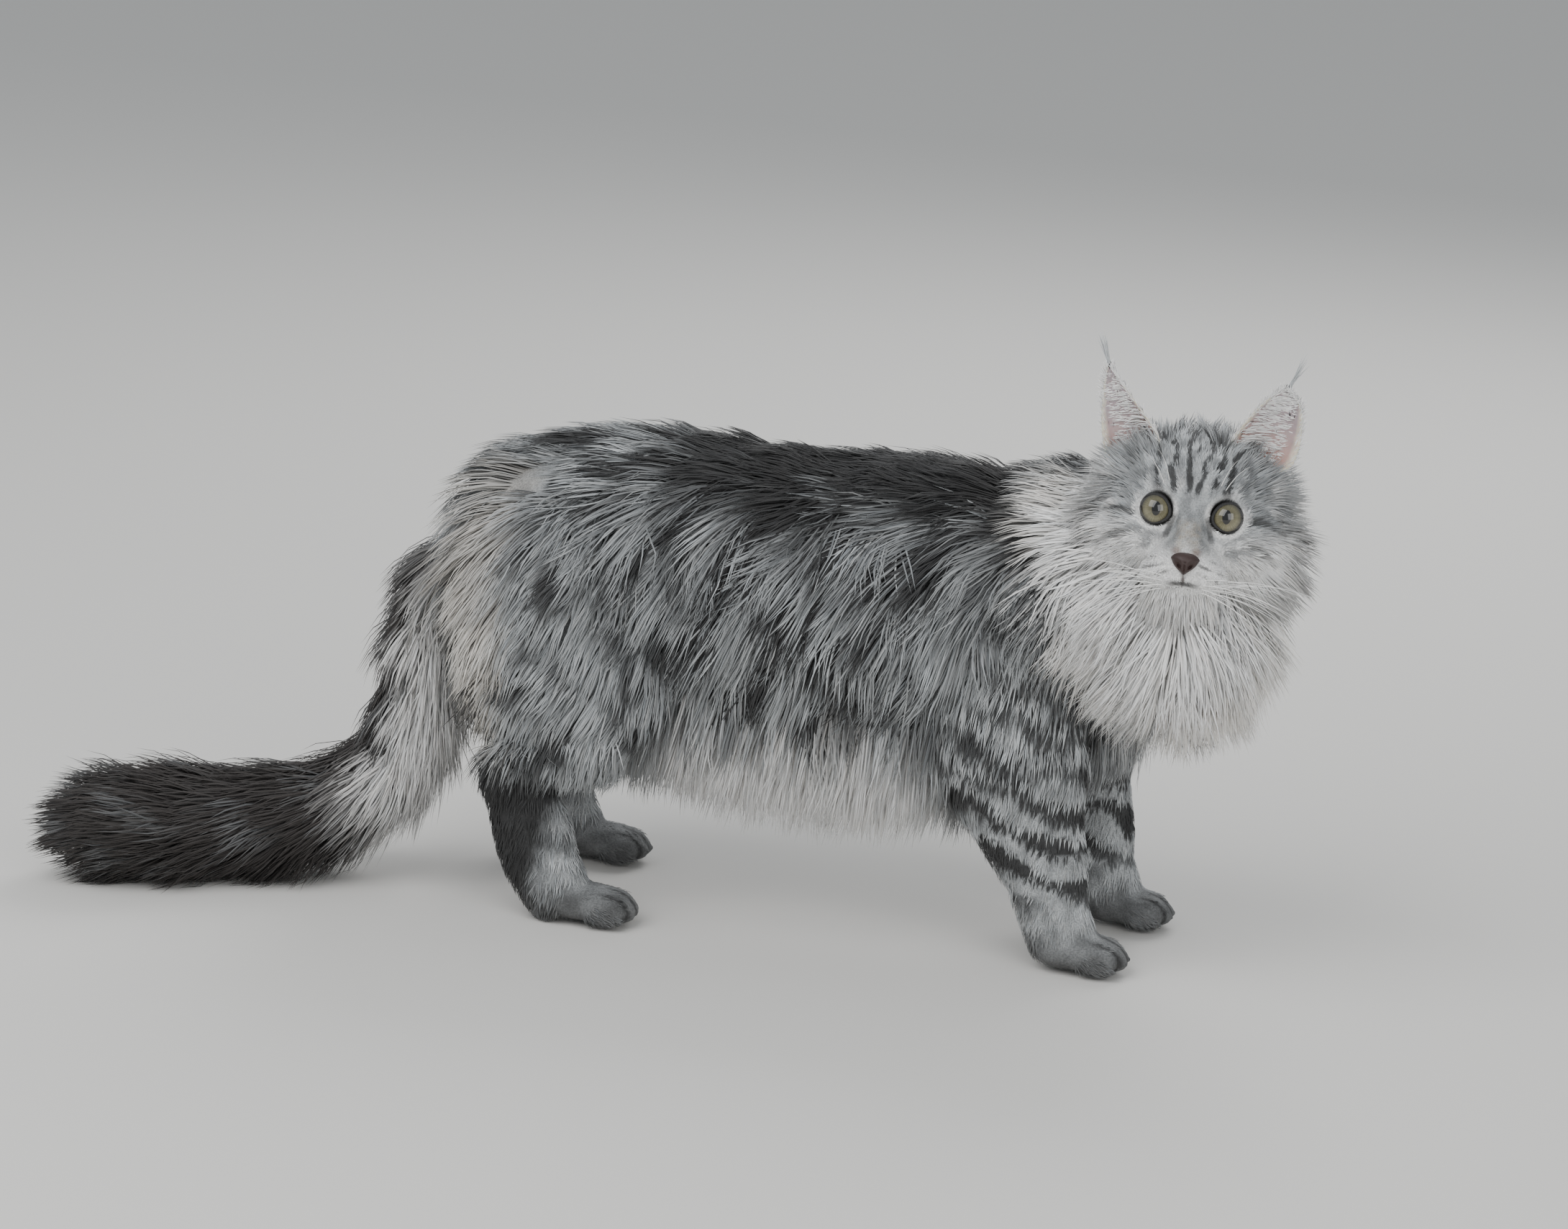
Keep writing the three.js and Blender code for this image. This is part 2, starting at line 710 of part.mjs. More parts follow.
const FEET = [
  ["right", FORE_FOOT_RIGHT, HIND_FOOT_RIGHT],
  ["left", FORE_FOOT_LEFT, HIND_FOOT_LEFT],
];
for (const [side, fore, hind] of FEET) {
  addNode(`foreleg_${side}`, (grow) => [toSolid(foreleg(fore).geometry(12, 12, grow))], [], onFloor);
  addNode(`forepaw_${side}`, (grow) => pawForms(fore, grow), [], onFloor);
  const thighTube = thigh(hind);
  addNode(
    `hindleg_${side}`,
    (grow) => [thighTube, shank(hind), hock(hind)].map((tube) => toSolid(tube.geometry(8, 12, grow))),
    rowsOfLocks(thighTube, 2, 8, 41, breechLock, 0.3, 0.85),
    onFloor,
  );
  addNode(`hindpaw_${side}`, (grow) => pawForms(hind, grow), [], onFloor);
}

addNode("torso", (grow) => [toSolid(trunk.geometry(14, 20, grow))], trunkLocks);

// The tail is modelled whole and parted square across its path.
function tailLength(name, from, to, rows, seed) {
  const parted = (solid, grow) => {
    for (const [u, sign] of [[from, 1], [to, -1]]) {
      if (u <= 0 || u >= 1) continue;
      const way = tail.frame(u).tangent.multiplyScalar(sign);
      solid = solid.trimByPlane(way.toArray(), way.dot(tail.path.getPoint(u)) + GAP / 2 - grow);
    }
    return solid;
  };
  const locks = rowsOfLocks(tail, rows, 6, seed, tailLock, from > 0 ? from + 0.03 : 0.1, Math.min(to, 0.97));
  addNode(name, (grow) => [parted(toSolid(tail.geometry(22, 10, grow)), grow)], locks, onFloor);
}
tailLength("tail_root", 0, TAIL_CUTS[0], 2, 51);
tailLength("tail_middle", TAIL_CUTS[0], TAIL_CUTS[1], 2, 52);
tailLength("tail_tip", TAIL_CUTS[1], 1, 3, 53);

const COLOURS = {
  eye: { color: 0x9a8f5e, roughness: 0.05, metalness: 0 },
  nose: { color: 0x4a3a3c, roughness: 0.45, metalness: 0 },
  white: { color: 0xcfd2d3, roughness: 0.9, metalness: 0 },
  silver: { color: 0x8d9192, roughness: 0.9, metalness: 0 },
  smoke: { color: 0x55585a, roughness: 0.9, metalness: 0 },
};
const colourOf = (name) => {
  if (name.startsWith("eye")) return COLOURS.eye;
  if (name === "nose") return COLOURS.nose;
  if (name === "neck") return COLOURS.white;
  if (name.includes("paw") || name.includes("tail")) return COLOURS.smoke;
  return COLOURS.silver;
};

const cat = new THREE.Group();
for (const [name, solid] of Object.entries(solids)) {
  const mesh = new THREE.Mesh(toGeometry(solid), new THREE.MeshStandardMaterial(colourOf(name)));
  mesh.name = name;
  mesh.position.copy(ORIGIN).negate();
  cat.add(mesh);
}

export default cat;
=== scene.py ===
import bmesh
import bpy
import numpy as np
from mathutils import Matrix
from mathutils.kdtree import KDTree


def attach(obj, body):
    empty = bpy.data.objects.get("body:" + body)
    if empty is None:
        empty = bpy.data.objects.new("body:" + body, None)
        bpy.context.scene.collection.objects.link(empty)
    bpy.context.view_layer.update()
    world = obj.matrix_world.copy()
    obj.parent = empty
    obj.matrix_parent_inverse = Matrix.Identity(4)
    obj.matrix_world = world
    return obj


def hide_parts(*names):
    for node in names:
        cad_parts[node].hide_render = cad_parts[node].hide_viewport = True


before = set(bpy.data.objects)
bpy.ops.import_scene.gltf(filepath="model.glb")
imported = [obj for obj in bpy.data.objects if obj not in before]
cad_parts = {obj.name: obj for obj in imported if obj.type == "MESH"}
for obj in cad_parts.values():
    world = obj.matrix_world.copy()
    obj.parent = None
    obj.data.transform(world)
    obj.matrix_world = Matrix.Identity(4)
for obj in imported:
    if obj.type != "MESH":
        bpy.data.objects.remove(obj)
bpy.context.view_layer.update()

# ---------------------------------------------------------------- studio
# A plain pale floor, a large soft light from above on the left of the picture, a weaker one on its right and
# a dim one behind, for the edge of the coat. The camera stands 0.9 m up, three metres to the cat's right.
MIDDLE = np.array([-132.0, 2.0, 0.0])  # the middle of the whole figure, which is the origin of the placed cat


def place(points):
    """The cat's millimetres to metres about the origin: subtract the middle, divide by a thousand."""
    return (np.asarray(points, float) - MIDDLE) / 1000


def linear(hexcode):
    """An sRGB hex colour as linear numbers: each channel over 255, then raised by the sRGB curve."""
    c = np.array([int(hexcode[i : i + 2], 16) for i in (1, 3, 5)]) / 255
    return np.where(c <= 0.04045, c / 12.92, ((c + 0.055) / 1.055) ** 2.4)


def add_node(tree, kind, settings=None, **links):
    """One shader node, with its settings, and its inputs given as numbers or as the sockets that feed them.
    An input is given by its name, or as _6 by its place in the list."""
    node = tree.nodes.new(kind)
    for name, value in (settings or {}).items():
        setattr(node, name, value)
    for name, value in links.items():
        socket = node.inputs[int(name[1:]) if name[0] == "_" else name.replace("_", " ")]
        if isinstance(value, bpy.types.NodeSocket):
            tree.links.new(value, socket)
        else:
            socket.default_value = value
    return node


def new_material(name):
    """An empty node material with its surface shader and the shader's tree."""
    material = bpy.data.materials.new(name)
    material.use_nodes = True
    tree = material.node_tree
    return material, tree, tree.nodes["Principled BSDF"]


CAMERA_PLACE = (560.0, -2943.0, 913.0)
CAMERA_TURN, CAMERA_PITCH, CAMERA_ROLL = np.radians([12.0, 13.5, 2.5])
SENSOR_WIDTH = 36
LENS = 7000 / 2180 * SENSOR_WIDTH  # a focal length of 7000 pixels in a picture 2180 pixels wide
FLOOR_REACH = 6.0  # how far the floor goes each way, in metres

ahead = np.array([-np.sin(CAMERA_TURN), np.cos(CAMERA_TURN), -np.tan(CAMERA_PITCH)]) * np.cos(CAMERA_PITCH)
level = np.array([np.cos(CAMERA_TURN), np.sin(CAMERA_TURN), 0])
down = np.cross(ahead, level)
right = level * np.cos(CAMERA_ROLL) - down * np.sin(CAMERA_ROLL)
lower = level * np.sin(CAMERA_ROLL) + down * np.cos(CAMERA_ROLL)
lens = bpy.data.cameras.new("camera")
lens.lens = LENS
lens.sensor_width = SENSOR_WIDTH
lens.clip_end = 30
camera = bpy.data.objects.new("camera", lens)
stand = np.eye(4)
stand[:3, 0], stand[:3, 1], stand[:3, 2], stand[:3, 3] = right, -lower, -ahead, place(CAMERA_PLACE)
camera.matrix_world = Matrix(stand)
bpy.context.scene.collection.objects.link(camera)
bpy.context.scene.camera = camera


def soft_light(name, spot, aim, size, watts):
    """A square area light at spot, turned so that its face looks at aim."""
    light = bpy.data.lights.new(name, "AREA")
    light.energy, light.size = watts, size
    lamp = bpy.data.objects.new(name, light)
    back = np.array(spot, float) - np.array(aim, float)
    back /= np.linalg.norm(back)
    side = np.cross([0, 0, 1], back)
    side /= np.linalg.norm(side)
    turn = np.eye(4)
    turn[:3, 0], turn[:3, 1], turn[:3, 2], turn[:3, 3] = side, np.cross(back, side), back, spot
    lamp.matrix_world = Matrix(turn)
    bpy.context.scene.collection.objects.link(lamp)


soft_light("key_light", (-0.9, -1.6, 2.1), (0, 0, 0.15), 2.4, 54)
soft_light("fill_light", (1.7, -1.9, 1.0), (0.1, 0, 0.2), 1.8, 26)
soft_light("back_light", (0.4, 1.9, 1.7), (0, 0, 0.2), 1.4, 26)
world = bpy.data.worlds.new("studio")
world.use_nodes = True
world.node_tree.nodes["Background"].inputs["Color"].default_value = (0.80, 0.84, 0.88, 1)
world.node_tree.nodes["Background"].inputs["Strength"].default_value = 0.6
bpy.context.scene.world = world

floor_mesh = bpy.data.meshes.new("floor")
square = [(-1, -1, 0), (1, -1, 0), (1, 1, 0), (-1, 1, 0)]
floor_mesh.from_pydata([np.multiply(corner, FLOOR_REACH) for corner in square], [], [(0, 1, 2, 3)])
floor = bpy.data.objects.new("floor", floor_mesh)
bpy.context.scene.collection.objects.link(floor)
# matt paint: rough, so that the floor takes a shadow and gives no highlight
pale_paint, _, surface = new_material("pale_matt_paint")
surface.inputs["Base Color"].default_value = (*linear("#d9d7d3"), 1)
surface.inputs["Roughness"].default_value = 0.85
floor_mesh.materials.append(pale_paint)

# ---------------------------------------------------------------- flesh
# The body under its coat: barrel, neck and chest, legs, paws and tail, as rounded forms that run into each
# other as muscle does under loose skin. Hair roots are laid on the same forms further down.


def along(stations, u):
    """A smooth curve through rows of numbers: Catmull and Rom's cubic, with the ends carried on straight."""
    s = np.asarray(stations, float)
    s = np.vstack([2 * s[0] - s[1], s, 2 * s[-1] - s[-2]])
    last = len(s) - 3
    x = np.clip(u, 0, 1) * last
    i = np.minimum(x.astype(int), last - 1)
    t = (x - i)[..., None]
    a, b, c, d = s[i], s[i + 1], s[i + 2], s[i + 3]
    return 0.5 * (2 * b + (c - a) * t + (2 * a - 5 * b + 4 * c - d) * t**2 + (3 * b - a - 3 * c + d) * t**3)


def unit(v):
    """Vectors divided by their own length."""
    return v / np.maximum(np.linalg.norm(v, axis=-1, keepdims=True), 1e-9)


def quads(rows, columns, wrap_rows=False):
    """Four-cornered faces of a grid that closes round its columns, and round its rows if asked."""
    i, j = np.meshgrid(np.arange(rows if wrap_rows else rows - 1), np.arange(columns), indexing="ij")
    k, n = (j + 1) % columns, (i + 1) % rows
    return np.stack([i * columns + j, i * columns + k, n * columns + k, n * columns + j], -1).reshape(-1, 4)


def round_grid(low, high, rows, columns):
    """A grid of two parameters: evenly from low to high by row, and once round by column."""
    return np.meshgrid(np.linspace(low, high, rows), np.arange(columns) / columns * 2 * np.pi, indexing="ij")


SECTIONS = 40  # places along a form where nearness to it is measured
SECTION_REACH = 14  # how far along the form a section counts
FAR = 9.0  # the nearness of what is beyond reach of a form


class Limb:
    """A rounded form along a curve: stations of x, y, z, half side and half up, with domed ends."""

    def __init__(self, stations, up=(0, 0, 1), start=0.1, end=0.1):
        self.stations, self.up = np.array(stations, float), np.array(up, float)
        self.start, self.end = start, end

    def axes(self, u):
        """Middle, the way along, the side and the rise at u."""
        middle = along(self.stations[:, :3], u)
        way = unit(along(self.stations[:, :3], u + 1e-3) - along(self.stations[:, :3], u - 1e-3))
        side = unit(np.cross(self.up, way))
        return middle, way, side, np.cross(way, side)

    def point(self, u, turn, inset=0.0):
        """The surface at u along and turn round: middle plus side and rise times half sizes less inset."""
        middle, _, side, rise = self.axes(np.clip(u, 0.001, 0.999))
        half = np.maximum(along(self.stations[:, 3:], u) - inset, 2)
        dome = np.sqrt(np.clip(1 - (1 - np.minimum(u / self.start, 1)) ** 2, 0, 1))
        dome = dome * np.sqrt(np.clip(1 - (1 - np.minimum((1 - u) / self.end, 1)) ** 2, 0, 1))
        across = (np.cos(turn) * half[..., 0] * dome)[..., None] * side
        return middle + across + (np.sin(turn) * half[..., 1] * dome)[..., None] * rise

    def normal(self, u, turn):
        """Way off the surface: across the steps along and round it."""
        step = 0.004
        one = self.point(np.minimum(u + step, 1), turn) - self.point(np.maximum(u - step, 0), turn)
        other = self.point(u, turn + 0.02) - self.point(u, turn - 0.02)
        n = unit(np.cross(other, one))
        outward = self.point(u, turn) - self.axes(np.clip(u, 0.001, 0.999))[0]
        return n * np.sign((n * outward).sum(-1, keepdims=True))

    def grid(self, rows, columns, inset=0.0):
        """Corners and faces of the whole form: rings along it, and a pole at each end."""
        corners = self.point(*round_grid(0, 1, rows, columns), inset)
        return corners.reshape(-1, 3), quads(rows, columns)

    def nearness(self, points):
        """How far out points lie, as a share of the form's half size there, and how far along it they are."""
        u = np.linspace(0.02, 0.98, SECTIONS)
        middle, way, side, rise = self.axes(u)
        half = along(self.stations[:, 3:], u)
        best, where = np.full(len(points), FAR), np.zeros(len(points))
        for k in range(SECTIONS):
            away = points - middle[k]
            share = np.sqrt(
                ((away @ side[k]) / half[k, 0]) ** 2
                + ((away @ rise[k]) / half[k, 1]) ** 2
                + ((away @ way[k]) / SECTION_REACH) ** 2 * 0.35
            )
            closer = share < best
            best[closer], where[closer] = share[closer], u[k]
        return best, where


FORE_FEET = {"right": (138.0, -54.0), "left": (150.0, 52.0)}
HIND_FEET = {"right": (-166.0, -60.0), "left": (-192.0, 76.0)}
FEET = [*FORE_FEET.values(), *HIND_FEET.values()]
TOE_SPACING = 10.3
FORWARD = (1, 0, 0)

trunk = Limb(
    [
        (-262, 0, 222, 20, 22),
        (-246, 0, 220, 50, 56),
        (-205, 0, 216, 64, 74),
        (-150, 0, 212, 66, 84),
        (-95, 0, 206, 68, 88),
        (-40, 0, 202, 71, 90),
        (15, 0, 203, 72, 90),
        (65, 0, 207, 69, 84),
        (110, 0, 214, 60, 70),
        (145, 0, 220, 46, 54),
        (168, 0, 224, 24, 30),
    ],
    start=0.06,
    end=0.08,
)
neck = Limb(
    [
        (82, 0, 232, 50, 54),
        (112, -4, 236, 56, 60),
        (146, -14, 242, 56, 58),
        (172, -28, 252, 52, 52),
        (188, -40, 262, 44, 44),
    ],
    start=0.1,
    end=0.14,
)
bib = Limb(
    [(160, -30, 262, 44, 30), (182, -44, 240, 46, 36), (184, -44, 214, 40, 34), (176, -38, 190, 26, 22)],
    up=FORWARD,
    start=0.25,
    end=0.3,
)
tail = Limb(
    [
        (-226, 0, 238, 16, 18),
        (-252, -1, 232, 17, 19),
        (-276, -2, 206, 18, 20),
        (-287, -3, 168, 19, 21),
        (-292, -4, 128, 20, 21),
        (-304, -8, 88, 21, 22),
        (-332, -17, 56, 23, 23),
        (-374, -32, 42, 25, 25),
        (-420, -52, 38, 27, 27),
        (-462, -70, 37, 25, 25),
        (-494, -82, 36, 12, 12),
    ],
    up=(0, 1, 0),
    start=0.06,
    end=0.08,
)


def foreleg(x, y):
    """Shoulder, elbow, forearm and wrist above a fore foot."""
    s = np.sign(y)
    return Limb(
        [
            (92, s * 40, 236, 24, 34),
            (84, s * 48, 196, 30, 46),
            (86, y, 150, 29, 46),
            (x - 44, y, 118, 27, 44),
            (x - 34, y, 88, 22, 34),
            (x - 24, y, 62, 19, 27),
            (x - 19, y, 40, 18, 23),
            (x - 12, y, 20, 18, 22),
            (x - 8, y, 8, 15, 18),
        ],
        up=FORWARD,
    )


def thigh(x, y):
    """Hip and thigh down to the knee above a hind foot."""
    s, back = np.sign(y), (x - HIND_FEET["right"][0]) * 0.4
    return Limb(
        [
            (-200, s * 34, 262, 20, 34),
            (-198 + back, s * 44, 226, 30, 52),
            (-188 + back, s * 52, 184, 32, 60),
            (-172 + back, y * 0.95, 146, 29, 56),
            (-160 + back, y, 112, 24, 42),
        ],
        up=FORWARD,
        start=0.12,
        end=0.22,
    )


def shank(x, y):
    """From the knee back to the heel."""
    return Limb(
        [
            (x + 22, y, 128, 22, 26),
            (x - 6, y, 116, 22, 26),
            (x - 36, y, 104, 19, 22),
            (x - 62, y, 100, 13, 15),
        ],
        start=0.25,
        end=0.2,
    )


def hock(x, y):
    """From the heel down to the hind foot."""
    return Limb(
        [
            (x - 62, y, 112, 11, 12),
            (x - 54, y, 96, 15, 20),
            (x - 42, y, 66, 16, 25),
            (x - 34, y, 40, 17, 25),
            (x - 22, y, 18, 18, 22),
            (x - 14, y, 6, 15, 18),
        ],
        up=FORWARD,
    )


def pad(x, y):
    """The sole and toes of a foot as one low dome along it."""
    return Limb(
        [
            (x - 30, y, 12, 17, 11),
            (x - 6, y, 13, 20, 12.5),
            (x + 12, y, 12, 21, 11.5),
            (x + 27, y, 9.5, 18, 9),
        ],
        start=0.2,
        end=0.2,
    )


def toes(x, y):
    """Four toes side by side, the middle two further forward."""
    made = []
    for i, forward in enumerate((16, 23, 23, 16)):
        across = y + (i - 1.5) * TOE_SPACING
        stations = [(x + forward - 18, across, 11, 7, 9), (x + forward + 8, across, 8.5, 6.6, 8)]
        made.append(Limb(stations, start=0.35, end=0.45))
    return made


forelegs = {side: foreleg(*FORE_FEET[side]) for side in FORE_FEET}
thighs = {side: thigh(*HIND_FEET[side]) for side in HIND_FEET}
shanks = {side: shank(*HIND_FEET[side]) for side in HIND_FEET}
hocks = {side: hock(*HIND_FEET[side]) for side in HIND_FEET}
pads = [pad(*foot) for foot in FEET]

# ---------------------------------------------------------------- head
# A wedge with high cheekbones, a square muzzle with full whisker pads and a firm chin. Its own frame runs
# out of the face, to the cat's left and up, from the point between the eyes. The turned face looks into the
# camera.
EYE_MIDDLE = np.array([192.0, -80.0, 294.0])
FACE_OUT = unit(np.array([0.12, -0.968, 0.219]))
FACE_TILT = np.radians(3.7)
EYE_SPACING, EYEBALL = 41.4, 10.6
_level = unit(np.cross([0, 0, 1], FACE_OUT))
_rise = np.cross(FACE_OUT, _level)
FACE_LEFT = _level * np.cos(FACE_TILT) - _rise * np.sin(FACE_TILT)
FACE = np.stack([FACE_OUT, FACE_LEFT, np.cross(FACE_OUT, FACE_LEFT)])  # rows: out, left, top


def from_face(points):
    """Points in the head's frame to the cat's: out, left and top times the three numbers, from between the
    eyes."""
    return np.asarray(points, float) @ FACE + EYE_MIDDLE


def to_face(points):
    """Points in the cat's frame to the head's."""
    return (np.asarray(points, float) - EYE_MIDDLE) @ FACE.T


MASSES = np.array(
    [
        (-44, 0, 12, 46, 40, 37),  # braincase
        (-22, 0, 13, 27, 28, 24),  # forehead
        (-30, 27, -14, 30, 24, 26),  # cheeks
        (-30, -27, -14, 30, 24, 26),
        (2, 0, -30, 24, 19, 14),  # muzzle
        (10.5, 13, -37, 13, 14.5, 10.5),  # whisker pads
        (10.5, -13, -37, 13, 14.5, 10.5),
        (1, 0, -12, 22, 8, 15),  # bridge of the nose
        (4, 0, -45, 12, 13, 7),  # chin
    ],
    float,
)
BLEND = 5.0  # how far the masses of the head run into each other
HEAD_CENTRE = np.array([-26.0, 0.0, -4.0])


def head_field(p):
    """Softly joined ellipsoids, below 0 inside: minus the blend times the log of the summed exponentials."""
    share = np.linalg.norm((p[..., None, :] - MASSES[:, :3]) / MASSES[:, 3:], axis=-1)
    least = MASSES[:, 3:].min(1)
    return -BLEND * np.log(np.exp(-(share - 1) * least / BLEND).sum(-1)) + BLEND * 0.35


def head_surface(way, grow=0.0):
    """Where rays from the head's centre leave it, found by halving all the rays at once."""
    inside, outside = np.zeros(way.shape[:-1]), np.full(way.shape[:-1], 90.0)
    for _ in range(22):
        middle = (inside + outside) / 2
        within = head_field(HEAD_CENTRE + way * middle[..., None]) < grow
        inside, outside = np.where(within, middle, inside), np.where(within, outside, middle)
    return HEAD_CENTRE + way * inside[..., None]


def eye_centre(side):
    """The middle of an eyeball in the head's frame."""
    return np.array([-EYEBALL + 1.2, side * EYE_SPACING / 2, 0.0])


def hollowed(p):
    """The face's surface let in 1.6 mm behind each eyeball, as far as 8.6 mm off its middle and then easing
    out, so that the ball stands free inside its lids."""
    p = p.copy()
    for side in (1, -1):
        c = eye_centre(side)
        off = np.hypot(p[..., 1] - c[1], p[..., 2] - c[2])
        ball = c[0] + np.sqrt(np.clip(EYEBALL**2 - off**2, 0, None)) - 1.6
        edge = np.clip((off - 8.6) / 2.4, 0, 1)
        let_in = np.minimum(p[..., 0], ball * (1 - edge) + p[..., 0] * edge)
        p[..., 0] = np.where((off < 12) & (p[..., 0] > -12), let_in, p[..., 0])
    return p


def new_mesh(name, corners, faces, material, smooth=True):
    """A placed mesh object from corners in the cat's frame and equal-sided faces."""
    mesh = bpy.data.meshes.new(name)
    mesh.vertices.add(len(corners))
    mesh.vertices.foreach_set("co", place(corners).astype(np.float32).ravel())
    faces = np.asarray(faces)
    mesh.loops.add(faces.size)
    mesh.loops.foreach_set("vertex_index", faces.ravel().astype(np.int32))
    mesh.polygons.add(len(faces))
    mesh.polygons.foreach_set("loop_start", (np.arange(len(faces)) * faces.shape[1]).astype(np.int32))
    mesh.polygons.foreach_set("use_smooth", np.full(len(faces), smooth))
    mesh.update(calc_edges=True)
    mesh.validate()
    piece = bpy.data.objects.new(name, mesh)
    bpy.context.scene.collection.objects.link(piece)
    if material:
        mesh.materials.append(material)
    return piece


def facing_out(piece):
    """The same piece with doubled corners merged and every face turned outwards."""
    work = bmesh.new()
    work.from_mesh(piece.data)
    bmesh.ops.remove_doubles(work, verts=work.verts, dist=1e-6)
    bmesh.ops.recalc_face_normals(work, faces=work.faces)
    work.to_mesh(piece.data)
    work.free()
    return piece


def corners_of(mesh):
    """The corners of a placed mesh, back in the cat's millimetres."""
    co = np.empty(len(mesh.vertices) * 3, np.float32)
    mesh.vertices.foreach_get("co", co)
    return co.reshape(-1, 3).astype(float) * 1000 + MIDDLE


# ---------------------------------------------------------------- markings
# A silver tabby: a near-black saddle along the back, rows of broken bars on the sides that slant back as they
# fall, a cream-white belly and ruff, barred legs, a striped forehead and a charcoal tail. Skin and coat are
# both painted by these functions, which also paint shade: dark gaps between the toes and darker sides to
# the bridge of the nose.
WHITE, CREAM, SILVER = linear("#e8e7e5"), linear("#dcd7cf"), linear("#b4b7b8")
GREY, CHARCOAL, BLACK = linear("#6d6f70"), linear("#353433"), linear("#1c1b1b")
PEACH, PINK, LEATHER = linear("#b5a997"), linear("#b99489"), linear("#3d2c2a")
LIP_HEIGHT, LIP_FALL = 41.6, 0.09  # how far the mouth lies below the eyes, and how it falls to the sides


def step_up(x, low, high):
    """0 below low, 1 above high, and an eased slope between."""
    t = np.clip((x - low) / (high - low), 0, 1)
    return t * t * (3 - 2 * t)


def ripple(points, size, seed):
    """Smooth noise from -1 to 1: seven sine waves of about one size, in seeded directions and phases,
    averaged."""
    rng = np.random.default_rng(seed)
    ways = unit(rng.normal(size=(7, 3))) * (2 * np.pi / size) * rng.uniform(0.6, 1.5, (7, 1))
    return np.sin(points @ ways.T + rng.uniform(0, 6.28, 7)).mean(-1) * 2.2


def within(x, outer, inner):
    """1 where x is nearer to nought than inner, 0 where it is beyond outer, and eased between."""
    return step_up(-np.abs(x), -outer, -inner)


def mixed(colour, other, share):
    """A colour moved towards another by a share."""
    return colour + (other - colour) * np.clip(share, 0, 1)[..., None]


def flank_colour(p):
    """Trunk, shoulder and haunch: rows of dark flecks across waves along the body, a black saddle, a pale
    belly."""
    x, y, z = p.T
    warp = 8 * ripple(p, 80, 3)
    bars = np.sin(2 * np.pi * (x - 0.40 * (z - 200) * step_up(-x, -60, 20) + warp) / 33)
    broken = ripple(p * (1, 1, 0.8), 27, 4)
    dark = step_up(0.8 * bars + 1.1 * broken, 0.1, 0.75) * step_up(z, 140, 175)
    colour = mixed(np.tile(SILVER, (len(p), 1)), GREY, 0.65 + 0.45 * ripple(p, 17, 15))
    colour = mixed(colour, WHITE, step_up(150 - z, 0, 50) * 0.45)
    colour = mixed(colour, BLACK, 0.95 * dark)
    saddle = step_up(z + 12 * ripple(p, 30, 5) - 0.30 * np.abs(y), 244, 266)
    colour = mixed(colour, BLACK, 0.95 * saddle * within(x + 5, 125, 95))
    shoulder = step_up(x, 55, 95) * step_up(z, 215, 270)
    colour = mixed(colour, CHARCOAL, 0.75 * shoulder * (0.6 + 0.4 * ripple(p, 30, 16)))
    rump = step_up(-x, 195, 250)
    colour = mixed(colour, CHARCOAL, 0.7 * rump * step_up(ripple(p, 24, 17), -0.3, 0.5))
    belly = step_up(166 + 7 * ripple(p, 22, 24) - z, 0, 24) * within(x + 40, 98, 62)
    return mixed(colour, WHITE, 0.92 * belly)


def foreleg_colour(p):
    """Silver with bold black bars across the outside, greyer to the paw."""
    x, _, z = p.T
    bars = np.sin(2 * np.pi * (z + 0.40 * x + 5 * ripple(p, 40, 6)) / 25)
    dark = step_up(bars + 0.3 * ripple(p, 18, 7), -0.05, 0.35) * step_up(z, 30, 55)
    colour = mixed(np.tile(SILVER, (len(p), 1)), GREY, 0.3 + 0.4 * ripple(p, 14, 18))
    colour = mixed(colour, BLACK, 0.93 * dark)
    return mixed(colour, CHARCOAL, 0.72 * step_up(34 - z, 0, 22))


def hind_colour(p):
    """Spotted silver thigh with cream breeches behind; the hock is black behind and silver in front."""
    x, y, z = p.T
    bars = np.sin(2 * np.pi * (0.8 * z + 0.6 * x + 9 * ripple(p, 40, 25)) / 30)
    spots = step_up(0.7 * bars + ripple(p, 25, 8), 0.15, 0.8)
    colour = mixed(np.tile(SILVER, (len(p), 1)), GREY, 0.5 + 0.4 * ripple(p, 15, 19))
    colour = mixed(colour, BLACK, 0.88 * spots * step_up(z, 88, 120))
    back = HIND_FEET["right"][0] - 40 + np.where(y > 0, -26, 0)
    colour = mixed(colour, CREAM * 0.9, step_up(back - x + 5 * ripple(p, 20, 9), 2, 26) * step_up(z, 95, 135))
    behind = step_up(back + 12 - x + 0.22 * (z - 60), -12, 8) * step_up(112 - z, 0, 14)
    return mixed(mixed(colour, BLACK, 0.95 * behind), CHARCOAL, 0.7 * step_up(30 - z, 0, 16))


def tail_colour(p, u):
    """Silver-white on the side that faces forward and down as far as the bend, dark above and over the last
    half."""
    facing = ((p - tail.axes(u)[0]) * (0.9, -0.25, -0.45)).sum(-1)
    under = step_up(facing + 5 * ripple(p, 24, 20), -9, 7) * step_up(-u, -0.62, -0.5)
    colour = np.tile(linear("#332f2d"), (len(p), 1))
    colour = mixed(colour, GREY, 0.5 * step_up(ripple(p, 22, 10), 0.2, 0.9))
    return mixed(colour, WHITE * 0.85, under * 0.92)


